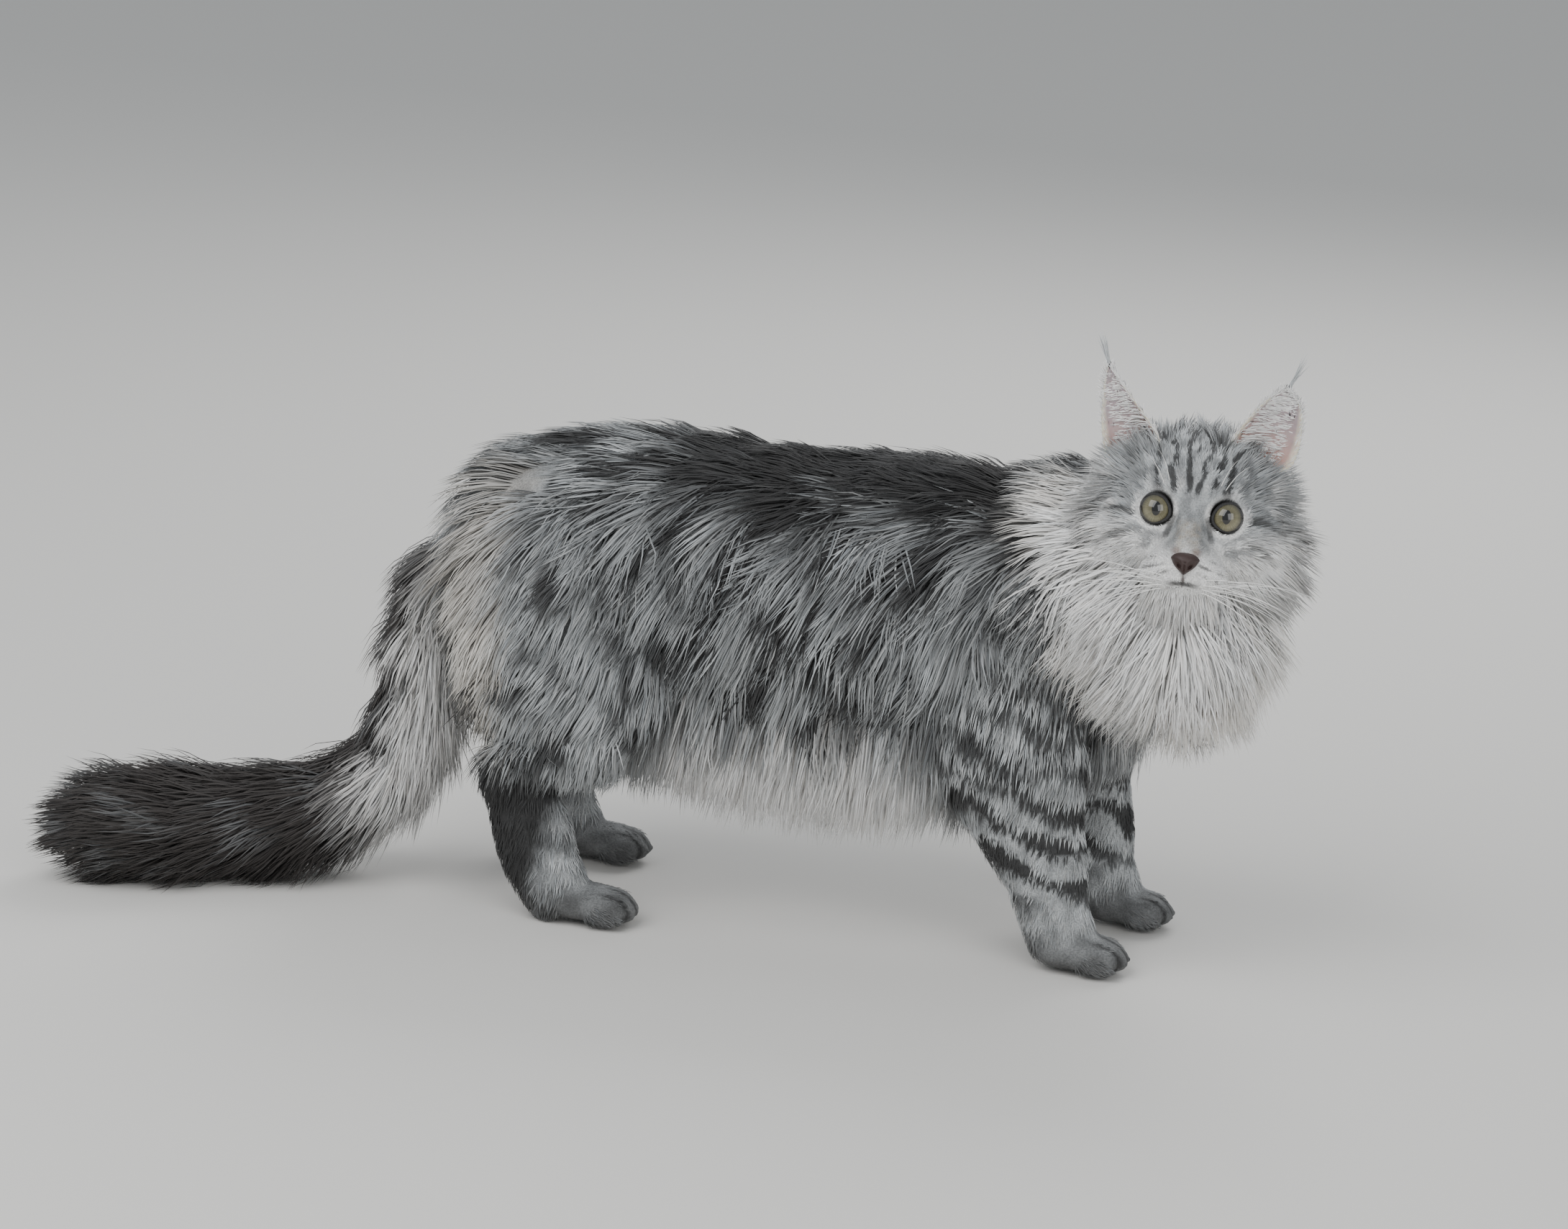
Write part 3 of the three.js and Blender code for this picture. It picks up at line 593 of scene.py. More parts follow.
def face_colour(p):
    """Stripes over the brow, pale rings round the eyes, dark lines back from them, a white muzzle and chin,
    and painted shade down the sides of the bridge of the nose."""
    f = to_face(p)
    x, y, z = f.T
    ay = np.abs(y)
    colour = mixed(np.tile(linear("#858788"), (len(p), 1)), SILVER, 0.5 + 0.6 * ripple(f, 11, 21))
    colour = mixed(colour, WHITE, step_up(-z + 0.3 * ay, 12, 32) * 0.92)
    jowl = step_up(ay - 0.35 * x + 6 * ripple(f, 16, 27), 44, 58) * step_up(-z, -34, -12)
    colour = mixed(colour, WHITE, jowl * 0.9)
    under_eye = within(np.hypot(ay - 27, z + 17), 11, 5) * step_up(ripple(f, 9, 23), -0.4, 0.5)
    colour = mixed(colour, GREY, 0.75 * under_eye)

    stripes = np.sin(2 * np.pi * (ay + 1.8 * ripple(f, 20, 11) - 0.14 * z) / 8.4 + 0.7)
    brow = step_up(z, 8, 13) * within(ay, 34, 22)
    broken = stripes + 0.8 * ripple(f * (1, 1, 0.5), 7, 22)
    colour = mixed(colour, WHITE, 0.45 * brow * step_up(-broken, 0.3, 1.1) * step_up(-z, -22, -14))
    colour = mixed(colour, BLACK, 0.9 * brow * step_up(broken, 0.1, 0.8))

    off = np.hypot(ay - EYE_SPACING / 2, z * 0.95)
    colour = mixed(colour, WHITE, 0.95 * within(off, 14, 11.5) * (1 - 0.75 * step_up(z, 2, 9)))
    colour = mixed(colour, BLACK, 0.97 * within(off, 10.2, 9.5))
    for rise, weight in ((-1.5, 0.85), (-15.0, 0.65)):
        line = within(z - rise + 0.25 * (ay - 32) + 1.4 * ripple(f, 20, 12), 3.0, 1.0)
        colour = mixed(colour, CHARCOAL, weight * line * step_up(ay, 31, 35) * within(ay, 50, 38))
    tear = within(ay - 11.5 + 0.28 * (z + 8), 2.6, 1.0)
    colour = mixed(colour, CHARCOAL, 0.75 * tear * within(z + 9, 9, 5))
    # painted shade: grey down each side of the bridge of the nose
    colour = mixed(colour, GREY, 0.5 * within(ay - 10, 5, 2) * within(z + 15, 11, 5) * step_up(x, 2, 8))

    bridge = within(ay, 8.5, 5) * step_up(-z, 2, 9) * step_up(z, -27, -22)
    colour = mixed(colour, PEACH, 0.5 * bridge * (0.7 + 0.5 * ripple(f, 5, 26)))
    colour = mixed(colour, linear("#6f544b"), 0.6 * within(z + 23.5, 3.5, 1) * within(ay - 6, 4, 1))
    muzzle = step_up(-z, 24, 29) * step_up(x, -14, -4) * within(ay, 32, 26)
    colour = mixed(colour, WHITE, 0.92 * muzzle)
    rows = np.sin(2 * np.pi * (z + 0.3 * ay) / 4.8)
    dots = step_up(rows, 0.4, 0.9) * muzzle * within(ay - 16, 10, 5) * step_up(z, -41, -37)
    colour = mixed(colour, CHARCOAL, 0.85 * dots * step_up(ripple(f, 6, 28), -0.5, 0.5))
    groove = within(ay, 1.5, 0.6) * within(z + 39.5, 4.5, 3) * step_up(x, 0, 6)
    colour = mixed(colour, LEATHER, 0.85 * groove)
    lips = within(z + LIP_HEIGHT + LIP_FALL * ay, 2.0, 0.7) * within(ay, 13, 4) * step_up(x, 0, 6)
    return mixed(colour, CHARCOAL, 0.9 * lips)


def markings_and_shade(p):
    """The colour at any points of the body: each region's own, weighed by how near its flesh they lie, with
    painted shade in the gaps between the toes.
    """
    hind_forms = (*thighs.values(), *shanks.values(), *hocks.values())
    x, y, z = p.T
    ruff = mixed(np.tile(WHITE, (len(p), 1)), CREAM, 0.6 * step_up(ripple(p, 40, 14), -0.4, 0.8))
    behind = step_up(106 + 0.42 * (280 - z) - x + 7 * ripple(p, 22, 13), -4, 9)
    nape = step_up(z + 0.35 * (y + 30), 290, 302) * step_up(176 - x, 0, 20)
    tail_share, tail_u = tail.nearness(p)
    head_share = head_field(to_face(p))
    parts = [
        (trunk.nearness(p)[0], flank_colour(p)),
        (
            np.minimum(neck.nearness(p)[0], bib.nearness(p)[0]),
            mixed(ruff, flank_colour(p), np.maximum(behind, nape)),
        ),
        (np.min([leg.nearness(p)[0] for leg in forelegs.values()], 0), foreleg_colour(p)),
        (np.min([leg.nearness(p)[0] for leg in hind_forms], 0), hind_colour(p)),
        (tail_share, tail_colour(p, tail_u)),
        (np.where(head_share < 9, 0.2 + np.maximum(head_share, 0) / 12, FAR), face_colour(p)),
    ]
    weights = np.stack([np.exp(-7 * np.clip(share, 0, 6)) for share, _ in parts])
    weights /= weights.sum(0)
    blended = sum(w[:, None] * colour for w, (_, colour) in zip(weights, parts))
    # painted shade: dark lines in the gaps between the toes
    toe_gap_shade = np.zeros(len(p))
    for foot_x, foot_y in FEET:
        toe = (y - foot_y) / TOE_SPACING
        between = np.abs(toe - np.round(toe)) * TOE_SPACING
        on_toes = step_up(x - foot_x, 4, 14) * step_up(26 - z, 0, 6) * (x < foot_x + 45)
        toe_gap_shade = np.maximum(toe_gap_shade, (np.abs(toe) < 1.5) * on_toes * within(between, 2.2, 0.8))
    return mixed(blended, BLACK, 0.85 * toe_gap_shade)


# ---------------------------------------------------------------- skin
# One skin over all the flesh, a little inside it. The body's forms are melted together by remeshing, and
# the head is laid on as its own fine grid that runs down inside the ruff.
SKIN_INSET, LEG_INSET = 3.0, 1.2  # how far the skin lies inside the forms, under long hair and under short
SOLE = 0.4  # the lowest that flesh reaches
VOXEL = 0.003  # in metres, of the remeshing
HEAD_ROWS, HEAD_COLUMNS = 150, 180
LID_ROWS, LID_COLUMNS = 64, 14


def polar(opened, turn):
    """Unit vectors by their angle from straight ahead and their angle round it."""
    return np.stack([np.cos(opened), np.sin(opened) * np.cos(turn), np.sin(opened) * np.sin(turn)], -1)


def head_grid(rows, columns, grow):
    """The head as rays opened from its face to its back: angle off straight ahead by row, round by column."""
    u, turn = round_grid(0, 1, rows, columns)
    return hollowed(head_surface(polar(np.pi * (0.55 * u + 0.45 * u**2), turn), grow)).reshape(-1, 3)


def lid_grid(side):
    """A rim of flesh round an eye: a round section carried round the opening, fuller above, and drawn to a
    point at the nose."""
    a, b = round_grid(0, 2 * np.pi * (1 - 1 / LID_ROWS), LID_ROWS, LID_COLUMNS)
    out = unit(np.array([np.cos(0.30), side * np.sin(0.30), 0.05]))
    left = unit(np.cross([0, 0, 1], out))
    top = np.cross(out, left)
    inner = np.clip(-side * np.cos(a - side * 0.35), 0, 1) ** 6
    thick = 0.75 + 0.9 * np.clip(np.sin(a), 0, 1) + 0.3 * inner
    reach = 8.95 + 1.6 * inner + thick * np.cos(b)
    rise = 5.5 + 0.4 * np.sin(a) - 0.2 * inner + thick * np.sin(b)
    return (
        eye_centre(side)
        + rise[..., None] * out
        + (reach * np.cos(a))[..., None] * left
        + (reach * np.sin(a) * (0.98 - 0.12 * np.clip(np.sin(a), 0, 1)))[..., None] * top
    ).reshape(-1, 3)


def paint(mesh, colours):
    """Colours at the corners of a mesh, under the name that its material reads."""
    rgba = np.ones((len(colours), 4), np.float32)
    rgba[:, :3] = colours
    mesh.attributes.new("Coat", "FLOAT_COLOR", "POINT").data.foreach_set("color", rgba.ravel())


def toned(tree, texture, darkest, palest):
    """The Coat colour times a texture, which is stretched from its middle range to darkest and palest."""
    tint = add_node(tree, "ShaderNodeAttribute", {"attribute_name": "Coat"})
    shade = add_node(
        tree, "ShaderNodeMapRange", Value=texture, From_Min=0.3, From_Max=0.7, To_Min=darkest, To_Max=palest
    )
    scaled = {"Vector": tint.outputs["Color"], "Scale": shade.outputs["Result"]}
    return add_node(tree, "ShaderNodeVectorMath", {"operation": "SCALE"}, **scaled).outputs["Vector"]


short_fur, tree, surface = new_material("skin_under_fur")
# fine short hair lying on the skin, about 1.1 mm from strand to strand, drawn as noise and as dents of 0.8 mm
spot = add_node(tree, "ShaderNodeTexCoord").outputs["Object"]
hair = add_node(tree, "ShaderNodeTexNoise", Vector=spot, Scale=900.0, Detail=2.0).outputs["Fac"]
tree.links.new(toned(tree, hair, 0.55, 1.0), surface.inputs["Base Color"])
dents = add_node(tree, "ShaderNodeBump", Height=hair, Strength=0.5, Distance=0.0008)
tree.links.new(dents.outputs["Normal"], surface.inputs["Normal"])
surface.inputs["Roughness"].default_value = 0.75

corners, faces, count = [], [], 0
long_haired = [trunk, neck, bib, tail, *thighs.values()]
short_haired = [*forelegs.values(), *shanks.values(), *hocks.values(), *pads]
for foot in FEET:
    short_haired += toes(*foot)
for form in [*long_haired, *short_haired]:
    c, f = form.grid(60, 40, SKIN_INSET if form in long_haired else LEG_INSET)
    c[:, 2] = np.maximum(c[:, 2], SOLE)
    corners.append(c)
    faces.append(f + count)
    count += len(c)
body = facing_out(new_mesh("body_skin", np.vstack(corners), np.vstack(faces), None))
melt = body.modifiers.new("melt", "REMESH")
melt.mode, melt.voxel_size = "VOXEL", VOXEL
ease = body.modifiers.new("ease", "SMOOTH")
ease.iterations, ease.factor = 6, 0.5
melted = bpy.data.meshes.new_from_object(body.evaluated_get(bpy.context.evaluated_depsgraph_get()))
bpy.data.objects.remove(body)
melted.calc_loop_triangles()
body_triangles = np.empty(len(melted.loop_triangles) * 3, np.int32)
melted.loop_triangles.foreach_get("vertices", body_triangles)

head_corners = from_face(head_grid(HEAD_ROWS, HEAD_COLUMNS, -LEG_INSET))
lids = [from_face(lid_grid(side)) for side in (1, -1)]
every = [corners_of(melted), head_corners, *lids]
starts = np.cumsum([0] + [len(c) for c in every])


def halves(four):
    """Each four-cornered face as two triangles."""
    return np.vstack([four[:, [0, 1, 2]], four[:, [0, 2, 3]]])


head_triangles = halves(quads(HEAD_ROWS, HEAD_COLUMNS))
lid_triangles = halves(quads(LID_ROWS, LID_COLUMNS, True))
parts = [body_triangles.reshape(-1, 3), head_triangles, lid_triangles, lid_triangles]
triangles = np.vstack([part + start for part, start in zip(parts, starts)])
skin = facing_out(new_mesh("skin", np.vstack(every), triangles, short_fur))
paint(skin.data, markings_and_shade(corners_of(skin.data)))
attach(skin, "root")
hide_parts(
    "torso", "neck", "head", "ear_left", "ear_right", "foreleg_left", "foreleg_right", "forepaw_left",
    "forepaw_right", "hindleg_left", "hindleg_right", "hindpaw_left", "hindpaw_right", "tail_root",
    "tail_middle", "tail_tip",
)

# ---------------------------------------------------------------- eyes
# Two wet eyeballs, olive to amber, with fine spokes in the iris, a dark rim and an upright oval pupil. The
# clear front bulges over the iris and gives the hard highlight.
EYE_ROWS, EYE_COLUMNS = 49, 64
IRIS = 9.3  # the radius at which the iris ends in its dark rim
eyeball, tree, surface = new_material("wet_eyeball")
gaze = add_node(tree, "ShaderNodeAttribute", {"attribute_name": "Gaze"}).outputs["Vector"]
axes = add_node(tree, "ShaderNodeSeparateXYZ", Vector=gaze)
away = add_node(tree, "ShaderNodeVectorMath", {"operation": "LENGTH"}, Vector=gaze)
iris = add_node(tree, "ShaderNodeValToRGB", Fac=away.outputs["Value"])
ramp = iris.color_ramp
ramp.elements[0].position, ramp.elements[0].color = 0.0, (*linear("#4d462c"), 1)
ramp.elements[1].position, ramp.elements[1].color = 1.0, (*linear("#15100c"), 1)
for place_on_iris, colour in ((0.42, "#645f4a"), (0.66, "#7a755b"), (0.84, "#5f5b48"), (0.94, "#17120e")):
    ramp.elements.new(place_on_iris).color = (*linear(colour), 1)
# spokes, as noise that is the same all along a line out from the pupil, and painted shade under the upper
# lid: the iris darker towards its top and lighter towards its bottom
ring = add_node(tree, "ShaderNodeVectorMath", {"operation": "NORMALIZE"}, Vector=gaze).outputs["Vector"]
wide = add_node(tree, "ShaderNodeVectorMath", {"operation": "SCALE"}, Vector=ring, Scale=5.0)
spokes = add_node(tree, "ShaderNodeTexNoise", Vector=wide.outputs["Vector"], Scale=3.0, Detail=4.0)
darker = {"From_Min": 0.35, "From_Max": 0.65, "To_Min": 0.72, "To_Max": 1.15}
spoke = add_node(tree, "ShaderNodeMapRange", Value=spokes.outputs["Fac"], **darker)
# painted shadow of the upper lid: the iris scaled from bright below to dark above
painted_lid_shadow = {"From_Min": -0.8, "From_Max": 0.9, "To_Min": 1.35, "To_Max": 0.5}
lid_shadow = add_node(tree, "ShaderNodeMapRange", Value=axes.outputs["Y"], **painted_lid_shadow)
shaded = iris.outputs["Color"]
for shade in (spoke, lid_shadow):
    scaled = {"Vector": shaded, "Scale": shade.outputs["Result"]}
    shaded = add_node(tree, "ShaderNodeVectorMath", {"operation": "SCALE"}, **scaled).outputs["Vector"]
# the pupil, an upright oval about 5 mm wide and 8 mm high
flat = add_node(tree, "ShaderNodeVectorMath", {"operation": "MULTIPLY"}, _0=gaze, _1=(3.0, 1.85, 0.0))
slit = add_node(tree, "ShaderNodeVectorMath", {"operation": "LENGTH"}, Vector=flat.outputs["Vector"])
eased = {"interpolation_type": "SMOOTHSTEP"}
pupil = add_node(tree, "ShaderNodeMapRange", eased, Value=slit.outputs["Value"], From_Min=0.80, From_Max=0.88)
black_to_iris = {"_0": pupil.outputs["Result"], "_6": (0.004, 0.004, 0.004, 1), "_7": shaded}
colour = add_node(tree, "ShaderNodeMix", {"data_type": "RGBA"}, **black_to_iris)
tree.links.new(colour.outputs[2], surface.inputs["Base Color"])
surface.inputs["Roughness"].default_value = 0.06
surface.inputs["IOR"].default_value = 1.376
surface.inputs["Coat Weight"].default_value = 1.0
surface.inputs["Coat Roughness"].default_value = 0.02
for name, side in (("left", 1), ("right", -1)):
    a, b = round_grid(0, np.pi, EYE_ROWS, EYE_COLUMNS)
    bulge = EYEBALL - 0.15 + 0.5 * np.exp(-((a / 0.62) ** 4))
    ball = from_face((polar(a, b) * bulge[..., None]).reshape(-1, 3) + eye_centre(side))
    eye = facing_out(new_mesh(f"eyeball_{name}", ball, quads(EYE_ROWS, EYE_COLUMNS), eyeball))
    seen = to_face(corners_of(eye.data)) - eye_centre(side)
    across = np.stack([seen[:, 1], seen[:, 2], np.zeros(len(seen))], 1) / IRIS
    across[seen[:, 0] < 0] *= 3  # the back of the ball is all rim
    kept = eye.data.attributes.new("Gaze", "FLOAT_VECTOR", "POINT")
    kept.data.foreach_set("vector", across.astype(np.float32).ravel())
    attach(eye, "root")
    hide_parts(f"eye_{name}")

# ---------------------------------------------------------------- nose
# The nose leather: bare, dark brown, finely pebbled and slightly moist, wide above and narrow at the lip,
# with a comma-shaped nostril let into each side.
NOSE_MIDDLE = (26.8, -30)  # out of the face and up, from between the eyes
NOSE_HALF = (6.0, 9.0, 6.4)  # half its depth, width and height
NOSE_ROWS, NOSE_COLUMNS = 49, 96
nose_leather, tree, surface = new_material("nose_leather")
surface.inputs["Base Color"].default_value = (*linear("#33221f"), 1)
surface.inputs["Roughness"].default_value = 0.5
# pebbles 0.6 mm across and 0.3 mm high
spot = add_node(tree, "ShaderNodeTexCoord")
pebbles = add_node(tree, "ShaderNodeTexVoronoi", Vector=spot.outputs["Object"], Scale=1800.0)
relief = add_node(tree, "ShaderNodeBump", Height=pebbles.outputs["Distance"], Strength=0.35, Distance=0.0003)
tree.links.new(relief.outputs["Normal"], surface.inputs["Normal"])
a, b = round_grid(0, np.pi, NOSE_ROWS, NOSE_COLUMNS)
y, z = np.sin(a) * np.cos(b), np.sin(a) * np.sin(b)
y = np.sign(y) * np.abs(y) ** 0.85
narrow = np.where(z < 0.35, 1 + 0.6 * (z - 0.35), 1)
x = NOSE_MIDDLE[0] + NOSE_HALF[0] * np.cos(a) - 2.2 * y * y
holes = np.exp(-(((np.abs(y) - 0.52) / 0.20) ** 2) - ((z + 0.18 - 0.25 * (np.abs(y) - 0.5)) / 0.22) ** 2)
x = x - 3.6 * holes * (np.cos(a) > 0) - 0.9 * np.exp(-((y / 0.09) ** 2)) * (z < 0.1) * (np.cos(a) > 0)
z = NOSE_MIDDLE[1] + NOSE_HALF[2] * np.sign(z) * np.abs(z) ** 0.8
corners = from_face(np.stack([x, y * NOSE_HALF[1] * narrow, z], -1).reshape(-1, 3))
faces = quads(NOSE_ROWS, NOSE_COLUMNS)
nose = facing_out(new_mesh("nose_leather", corners, faces, nose_leather))
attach(nose, "root")
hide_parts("nose")

# ---------------------------------------------------------------- ears
# Tall cupped ears of thin skin over gristle, pink inside. Each is given by the curves of its inner and
# outer edge, and its leaf is stretched between the two and set back as a cup.
EAR_CUP, EAR_THICKNESS = 15.0, 1.8
FULL_WIDTH = 28  # the width above which an ear has its full cup
LEAF_ROWS, LEAF_COLUMNS = 40, 30
EDGE_PLACES = 21  # places each way on the leaf, for finding how near the edge a corner is
EARS = {
    "left": {
        "side": 1,
        "inner": [(-30, 17, 38), (-30, 19, 48), (-32, 31, 67), (-37, 40, 76), (-40, 45, 79)],
        "outer": [(-40, 46, 26), (-40, 56, 38), (-40, 58, 58), (-40, 55, 72), (-40, 47, 79)],
    },
    "right": {
        "side": -1,
        "inner": [(-28, -23, 34), (-28, -26, 44), (-32, -43, 63), (-37, -54, 75), (-40, -58, 80)],
        "outer": [(-46, -47, 18), (-44, -55, 28), (-42, -60, 50), (-40, -61, 72), (-40, -60, 80)],
    },
}


def ear_point(ear, across, up, depth):
    """Between the ear's two edges at a height, set back by the cup's depth times one minus across squared."""
    across, up, depth = np.broadcast_arrays(across, up, depth)
    inner, outer = along(ear["inner"], up), along(ear["outer"], up)
    edge = (outer - inner) * ear["side"]
    back = unit(np.cross(edge, np.broadcast_to([0, 0.3 * ear["side"], 1.0], edge.shape)))
    back = -back * np.sign(back[..., :1])
    narrowing = np.clip(np.linalg.norm(edge, axis=-1) / FULL_WIDTH, 0, 1)
    hollow = EAR_CUP * (1 - across**2) * (1 - 0.7 * up) * narrowing + depth
    return (inner + outer) / 2 + edge * (across / 2)[..., None] + back * hollow[..., None]


ear_skin, tree, surface = new_material("thin_ear_skin")
# blotches about 6 mm apart, where more or less blood shows through
spot = add_node(tree, "ShaderNodeTexCoord")
veins = add_node(tree, "ShaderNodeTexNoise", Vector=spot.outputs["Object"], Scale=160.0, Detail=4.0)
tree.links.new(toned(tree, veins.outputs["Fac"], 0.85, 1.1), surface.inputs["Base Color"])
surface.inputs["Roughness"].default_value = 0.6
surface.inputs["Subsurface Weight"].default_value = 0.2
surface.inputs["Subsurface Scale"].default_value = 0.004
for name, ear in EARS.items():
    # one closed loop round the leaf at each height: the cup's face one way and its back the other
    up = np.linspace(0, 0.999, LEAF_ROWS)
    sweep = np.linspace(-1, 1, LEAF_COLUMNS)
    across = np.concatenate([sweep, sweep[::-1]])
    depth = np.repeat([-1.0, 1.0], LEAF_COLUMNS) * EAR_THICKNESS / 2
    a, b = np.meshgrid(up, across, indexing="ij")
    leaf = from_face(ear_point(ear, b, a, depth[None, :] * (1 - 0.5 * a)).reshape(-1, 3))
    faces = quads(LEAF_ROWS, 2 * LEAF_COLUMNS)
    ear_piece = facing_out(new_mesh(f"ear_skin_{name}", leaf, faces, ear_skin))

    # each corner is painted by the place on the leaf that it is nearest to
    spots = to_face(corners_of(ear_piece.data))
    up, across = np.meshgrid(np.linspace(0, 1, EDGE_PLACES), np.linspace(-1, 1, EDGE_PLACES), indexing="ij")
    places = ear_point(ear, across, up, 0.0).reshape(1, -1, 3)
    nearest = np.linalg.norm(spots[:, None] - places, axis=-1).argmin(1)
    share, low = np.abs(across).ravel()[nearest], 1 - up.ravel()[nearest]
    # painted shade: the leaf darker and greyer than its own pale pink, for the shade in the cup, and darker
    # brown deep in the bottom of the cup; the pink low down and the cream rim are its own colour
    tone = mixed(np.tile(linear("#a5979a"), (len(spots), 1)), PINK, step_up(low, 0.45, 0.85))
    tone = mixed(tone, linear("#8b6a60"), 0.7 * step_up(0.75 - share, 0, 0.5) * step_up(low, 0.6, 1.0))
    paint(ear_piece.data, mixed(tone, linear("#e2dac6"), step_up(share, 0.86, 0.94)))
    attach(ear_piece, "root")
    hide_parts(f"ear_{name}")

# ---------------------------------------------------------------- coat
# Long, silky, shaggy hair that hangs in wisps: shorter over the shoulders and face, long on the flanks,
# belly, breeches, ruff and tail. Each wisp is a thin three-sided blade that bends along its length and ends
# in a point.

# hair is keratin: dull across its scales from afar, with a faint sheen where it is seen edge on
hair_strands, tree, surface = new_material("silky_hair")
tint = add_node(tree, "ShaderNodeAttribute", {"attribute_name": "Coat"})
tree.links.new(tint.outputs["Color"], surface.inputs["Base Color"])
surface.inputs["Roughness"].default_value = 0.62
surface.inputs["IOR"].default_value = 1.55
surface.inputs["Specular IOR Level"].default_value = 0.3
surface.inputs["Sheen Weight"].default_value = 0.12
LONG, SHORT = (0.0, 0.34, 0.7), (0.0, 0.55)  # where along a wisp its rings stand
PATCH = 0.0014  # half the side of a wisp's own square of the unwrap
PIECE_LIMIT = 180000  # triangles in one object
LEADER_SHARE = 0.09  # of the wisps, the share that others are drawn to
ARCH = 0.06  # how far a wisp arches off the skin, as a share of its length
ROOT_DEPTH = 0.8  # how deep a wisp starts under its root
LOWEST_HAIR = 0.3
SHEET_CELLS = 5  # the unwrap has five squares each way


def blade(rings):
    """Triangles of a three-sided blade: its foot, two to a side between its rings, and three at the tip."""
    sides = []
    for k in range(0, 3 * rings - 3, 3):
        for i in range(3):
            following = (i + 1) % 3
            sides += [(k + i, k + following, k + 3 + i), (k + following, k + 3 + following, k + 3 + i)]
    tip = 3 * rings
    point = [(tip - 3, tip - 2, tip), (tip - 2, tip - 1, tip), (tip - 1, tip - 3, tip)]
    return np.array([(0, 2, 1), *sides, *point])


def leaders(root, share, rng):
    """For each root, the nearest of a random share of the roots: the wisp that its own tip is drawn to."""
    chosen = np.flatnonzero(rng.random(len(root)) < share)
    tree = KDTree(len(chosen))
    for i, spot in enumerate(root[chosen]):
        tree.insert(spot, i)
    tree.balance()
    return chosen[[tree.find(spot)[1] for spot in root]]


def grow(
    name, root, normal, lie, length, width, sheet,
    rings=LONG, droop=0.05, clump=0.0, colour=None, slot="silver_coat", seed=1,
):
    """Wisps from roots: the middle goes along the lie, arched off the skin, bent down by droop times t
    squared, and drawn to its leader by clump times t squared; three corners stand round it at each ring and
    one at the tip."""
    rng = np.random.default_rng(seed)
    n = len(root)
    lie = unit(lie)
    side = unit(np.cross(normal, lie))
    rise = np.cross(lie, side)
    length, width = np.broadcast_to(length, n)[:, None], np.broadcast_to(width, n)[:, None]
    bend = rng.normal(0, 0.06, (n, 1)) * length
    leader = leaders(root, LEADER_SHARE, rng) if clump else np.arange(n)
    pull = clump * rng.uniform(0.5, 1.0, (n, 1))
    corners = np.empty((n, 3 * len(rings) + 1, 3))
    soft = np.empty_like(corners)  # shading normals that lean to the skin's, so that wisps blend into a coat
    for k, t in enumerate((*rings, 1.0)):
        lift = length * ARCH * np.sin(np.pi * t) - ROOT_DEPTH * (1 - t)
        middle = root + lie * length * t + rise * lift + side * bend * t * t
        middle[:, 2] -= droop * length[:, 0] * t * t
        middle = middle + pull * t * t * (middle[leader] - middle)
        if t == 1.0:
            corners[:, -1], soft[:, -1] = middle, normal + 0.5 * lie
            continue
        half = width / 2 * (0.85 + 0.55 * t - 1.0 * t * t)
        for i, out in enumerate((side, 0.76 * rise, -side)):
            corners[:, 3 * k + i], soft[:, 3 * k + i] = middle + out * half, 1.1 * normal + out
    corners[..., 2] = np.maximum(corners[..., 2], LOWEST_HAIR)

    colour = markings_and_shade(root) if colour is None else np.broadcast_to(colour, (n, 3))
    tone = 1 + rng.normal(0, 0.07, (n, 1)) + rng.normal(0, 0.07, (n, 1))[leader]
    tone = tone + rng.normal(0, 0.01, (n, 1)) * (1, 0, -1)  # some wisps warmer, some cooler
    bright = np.clip(colour.mean(-1), 0, 1)[:, None]
    way_up = np.repeat((*rings, 1.0), 3)[: corners.shape[1]]
    # painted shade: each wisp darker at its root, where the coat shades it, and a little lighter at its tip;
    # pale wisps less darkened at the root
    painted_root_shade = (0.70 + 0.26 * bright) * (1 - way_up) + 1.1 * way_up
    painted = np.clip((colour * tone)[:, None, :] * painted_root_shade[..., None], 0.004, 0.92)
    patch = np.stack([[-1, 0, 1] * len(rings) + [0], 2 * way_up - 1], -1) * PATCH

    shape = blade(len(rings))
    limit = PIECE_LIMIT // len(shape)
    for k, at in enumerate(range(0, n, limit)):
        part = slice(at, at + limit)
        m, each = corners[part].shape[:2]
        tris = (shape[None] + each * np.arange(m)[:, None, None]).reshape(-1, 3)
        label = f"{name}_{k + 1}" if n > limit else name
        piece = new_mesh(label, corners[part].reshape(-1, 3), tris, hair_strands)
        paint(piece.data, painted[part].reshape(-1, 3))
        uv = (sheet[part][:, None, :] + patch[None]).reshape(-1, 2)[tris.ravel()]
        piece.data.uv_layers.new(name="OFBake").data.foreach_set("uv", uv.astype(np.float32).ravel())
        piece.data.normals_split_custom_set_from_vertices(unit(soft[part].reshape(-1, 3)))
        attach(piece, "root")


def scatter(form, count, seed, low=0.0, high=1.0):
    """Roots spread evenly over a form: random places kept in proportion to the area they stand for."""
    rng = np.random.default_rng(seed)
    u, turn = rng.uniform(low, high, count * 4), rng.uniform(0, 2 * np.pi, count * 4)
    step = form.point(np.minimum(u + 0.005, 1), turn) - form.point(np.maximum(u - 0.005, 0), turn)
    area = np.linalg.norm(np.cross(step, form.point(u, turn + 0.02) - form.point(u, turn - 0.02)), axis=-1)
    kept = np.flatnonzero(rng.random(count * 4) * np.percentile(area, 98) < area)[:count]
    return u[kept], turn[kept]


def outside(points, forms, share=0.93):
    """Which points lie outside all the given forms."""
    return np.all([form.nearness(points)[0] > share for form in forms], 0)


